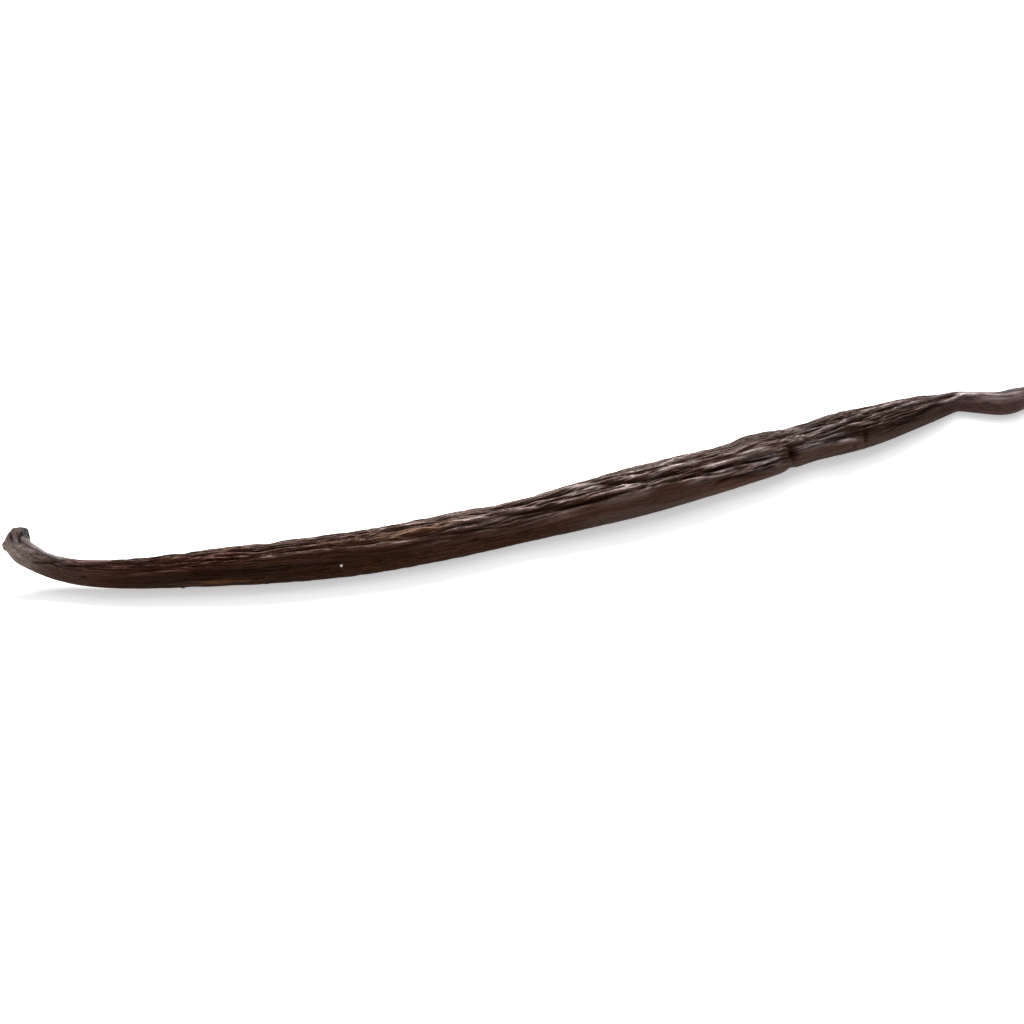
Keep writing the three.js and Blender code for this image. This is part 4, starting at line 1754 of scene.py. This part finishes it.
@dataclass
class Studio:
    """The table, the lights, the pale surroundings and the camera."""

    target: tuple[float, float, float] = (-7.44, -0.82, 0.0)
    azimuth: float = -13.3
    elevation: float = 35.0
    distance: float = 385.0
    lens: float = 85.0
    sensor: float = 36.0
    near: float = 0.01
    far: float = 20.0
    surround: float = 0.36
    half_table: float = 4.0
    lights: tuple[SoftLight, ...] = (
        SoftLight(Kind.KEY, (0.1, 0.53, 0.42), 0.34, 12.5),
        SoftLight(Kind.FILL, (0.3, 0.2, 0.6), 0.6, 2.0),
    )

    def camera(self) -> None:
        """Place the camera: at a distance from its target, at an azimuth and an elevation."""
        turned, raised = math.radians(self.azimuth), math.radians(self.elevation)
        target = Vector(self.target) * MM
        flat = math.cos(raised)
        back = Vector((math.sin(turned) * flat, -math.cos(turned) * flat, math.sin(raised)))
        data = bpy.data.cameras.new("camera")
        data.lens = self.lens
        data.sensor_width = self.sensor
        data.clip_start = self.near
        data.clip_end = self.far
        holder = bpy.data.objects.new("camera", data)
        holder.location = target + back * self.distance * MM
        holder.rotation_euler = (-back).to_track_quat("-Z", "Y").to_euler()
        bpy.context.scene.collection.objects.link(holder)
        bpy.context.scene.camera = holder

    def table(self) -> None:
        """Lay the table: one square far larger than the view."""
        half = self.half_table
        corners = [(-half, -half, 0), (half, -half, 0), (half, half, 0), (-half, half, 0)]
        mesh = bpy.data.meshes.new("table")
        mesh.from_pydata(corners, [], [(0, 1, 2, 3)])
        mesh.materials.append(TableFinish().build())
        floor = bpy.data.objects.new("table", mesh)
        bpy.context.scene.collection.objects.link(floor)

    def build(self) -> None:
        """Set up the studio."""
        self.camera()
        self.table()
        for light in self.lights:
            light.build(Vector(self.target) * MM)
        world = bpy.data.worlds.new("pale_room")
        world.use_nodes = True
        background = world.node_tree.nodes["Background"]
        background.inputs["Color"].default_value = (1.0, 1.0, 1.0, 1.0)
        background.inputs["Strength"].default_value = self.surround
        bpy.context.scene.world = world
        bpy.context.scene.view_settings.view_transform = "Standard"


@dataclass
class Crumb:
    """The white crumb on the pod's near side: a small uneven lump."""

    along: float = 52.3
    turn: float = 9.5
    radius: float = 0.22
    rings: int = 9
    sides: int = 14
    uneven: float = 0.28
    cells: float = 1.7
    shift: float = 5.0

    def build(self, pod: Pod) -> bpy.types.Object:
        """Make the crumb's mesh: a ball whose radius a random field makes uneven.

        Args:
            pod: The pod that it lies on.

        Returns:
            The crumb.
        """
        place = np.array([self.along])
        turn = np.array([math.radians(self.turn)])
        middle = pod.skin(place, turn, np.ones(1), np.zeros((1, 1)))[0, 0]
        tilt = np.linspace(0.0, np.pi, self.rings + 2)[1:-1, None]
        round_it = (np.arange(self.sides) * 2 * np.pi / self.sides)[None, :]
        forward = np.cos(tilt) * np.ones_like(round_it)
        away = -np.sin(tilt) * np.cos(round_it)
        ball = np.stack([forward, away, np.sin(tilt) * np.sin(round_it)], axis=-1)
        lumps = random_field(*(ball * self.cells + self.shift).transpose(2, 0, 1))
        rings = middle + self.radius * (1.0 + self.uneven * lumps)[..., None] * ball
        first = middle + np.array([self.radius, 0.0, 0.0])
        last = middle - np.array([self.radius, 0.0, 0.0])
        return closed_tube("crumb", rings, first, last)


def main() -> None:
    """Build the pod, its crumb and the studio."""
    logging.basicConfig(level=logging.INFO, format="%(name)s: %(message)s")
    pod = Pod()
    skin = pod.build()
    skin.data.materials.append(SkinFinish().build())
    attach(skin, "root")
    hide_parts("pod")
    LOG.info("%s: %d faces", skin.name, len(skin.data.polygons))

    crumb = Crumb().build(pod)
    crumb.data.materials.append(CrumbFinish().build())
    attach(crumb, "root")
    LOG.info("%s: %d faces", crumb.name, len(crumb.data.polygons))

    Studio().build()


if __name__ == "__main__":
    main()
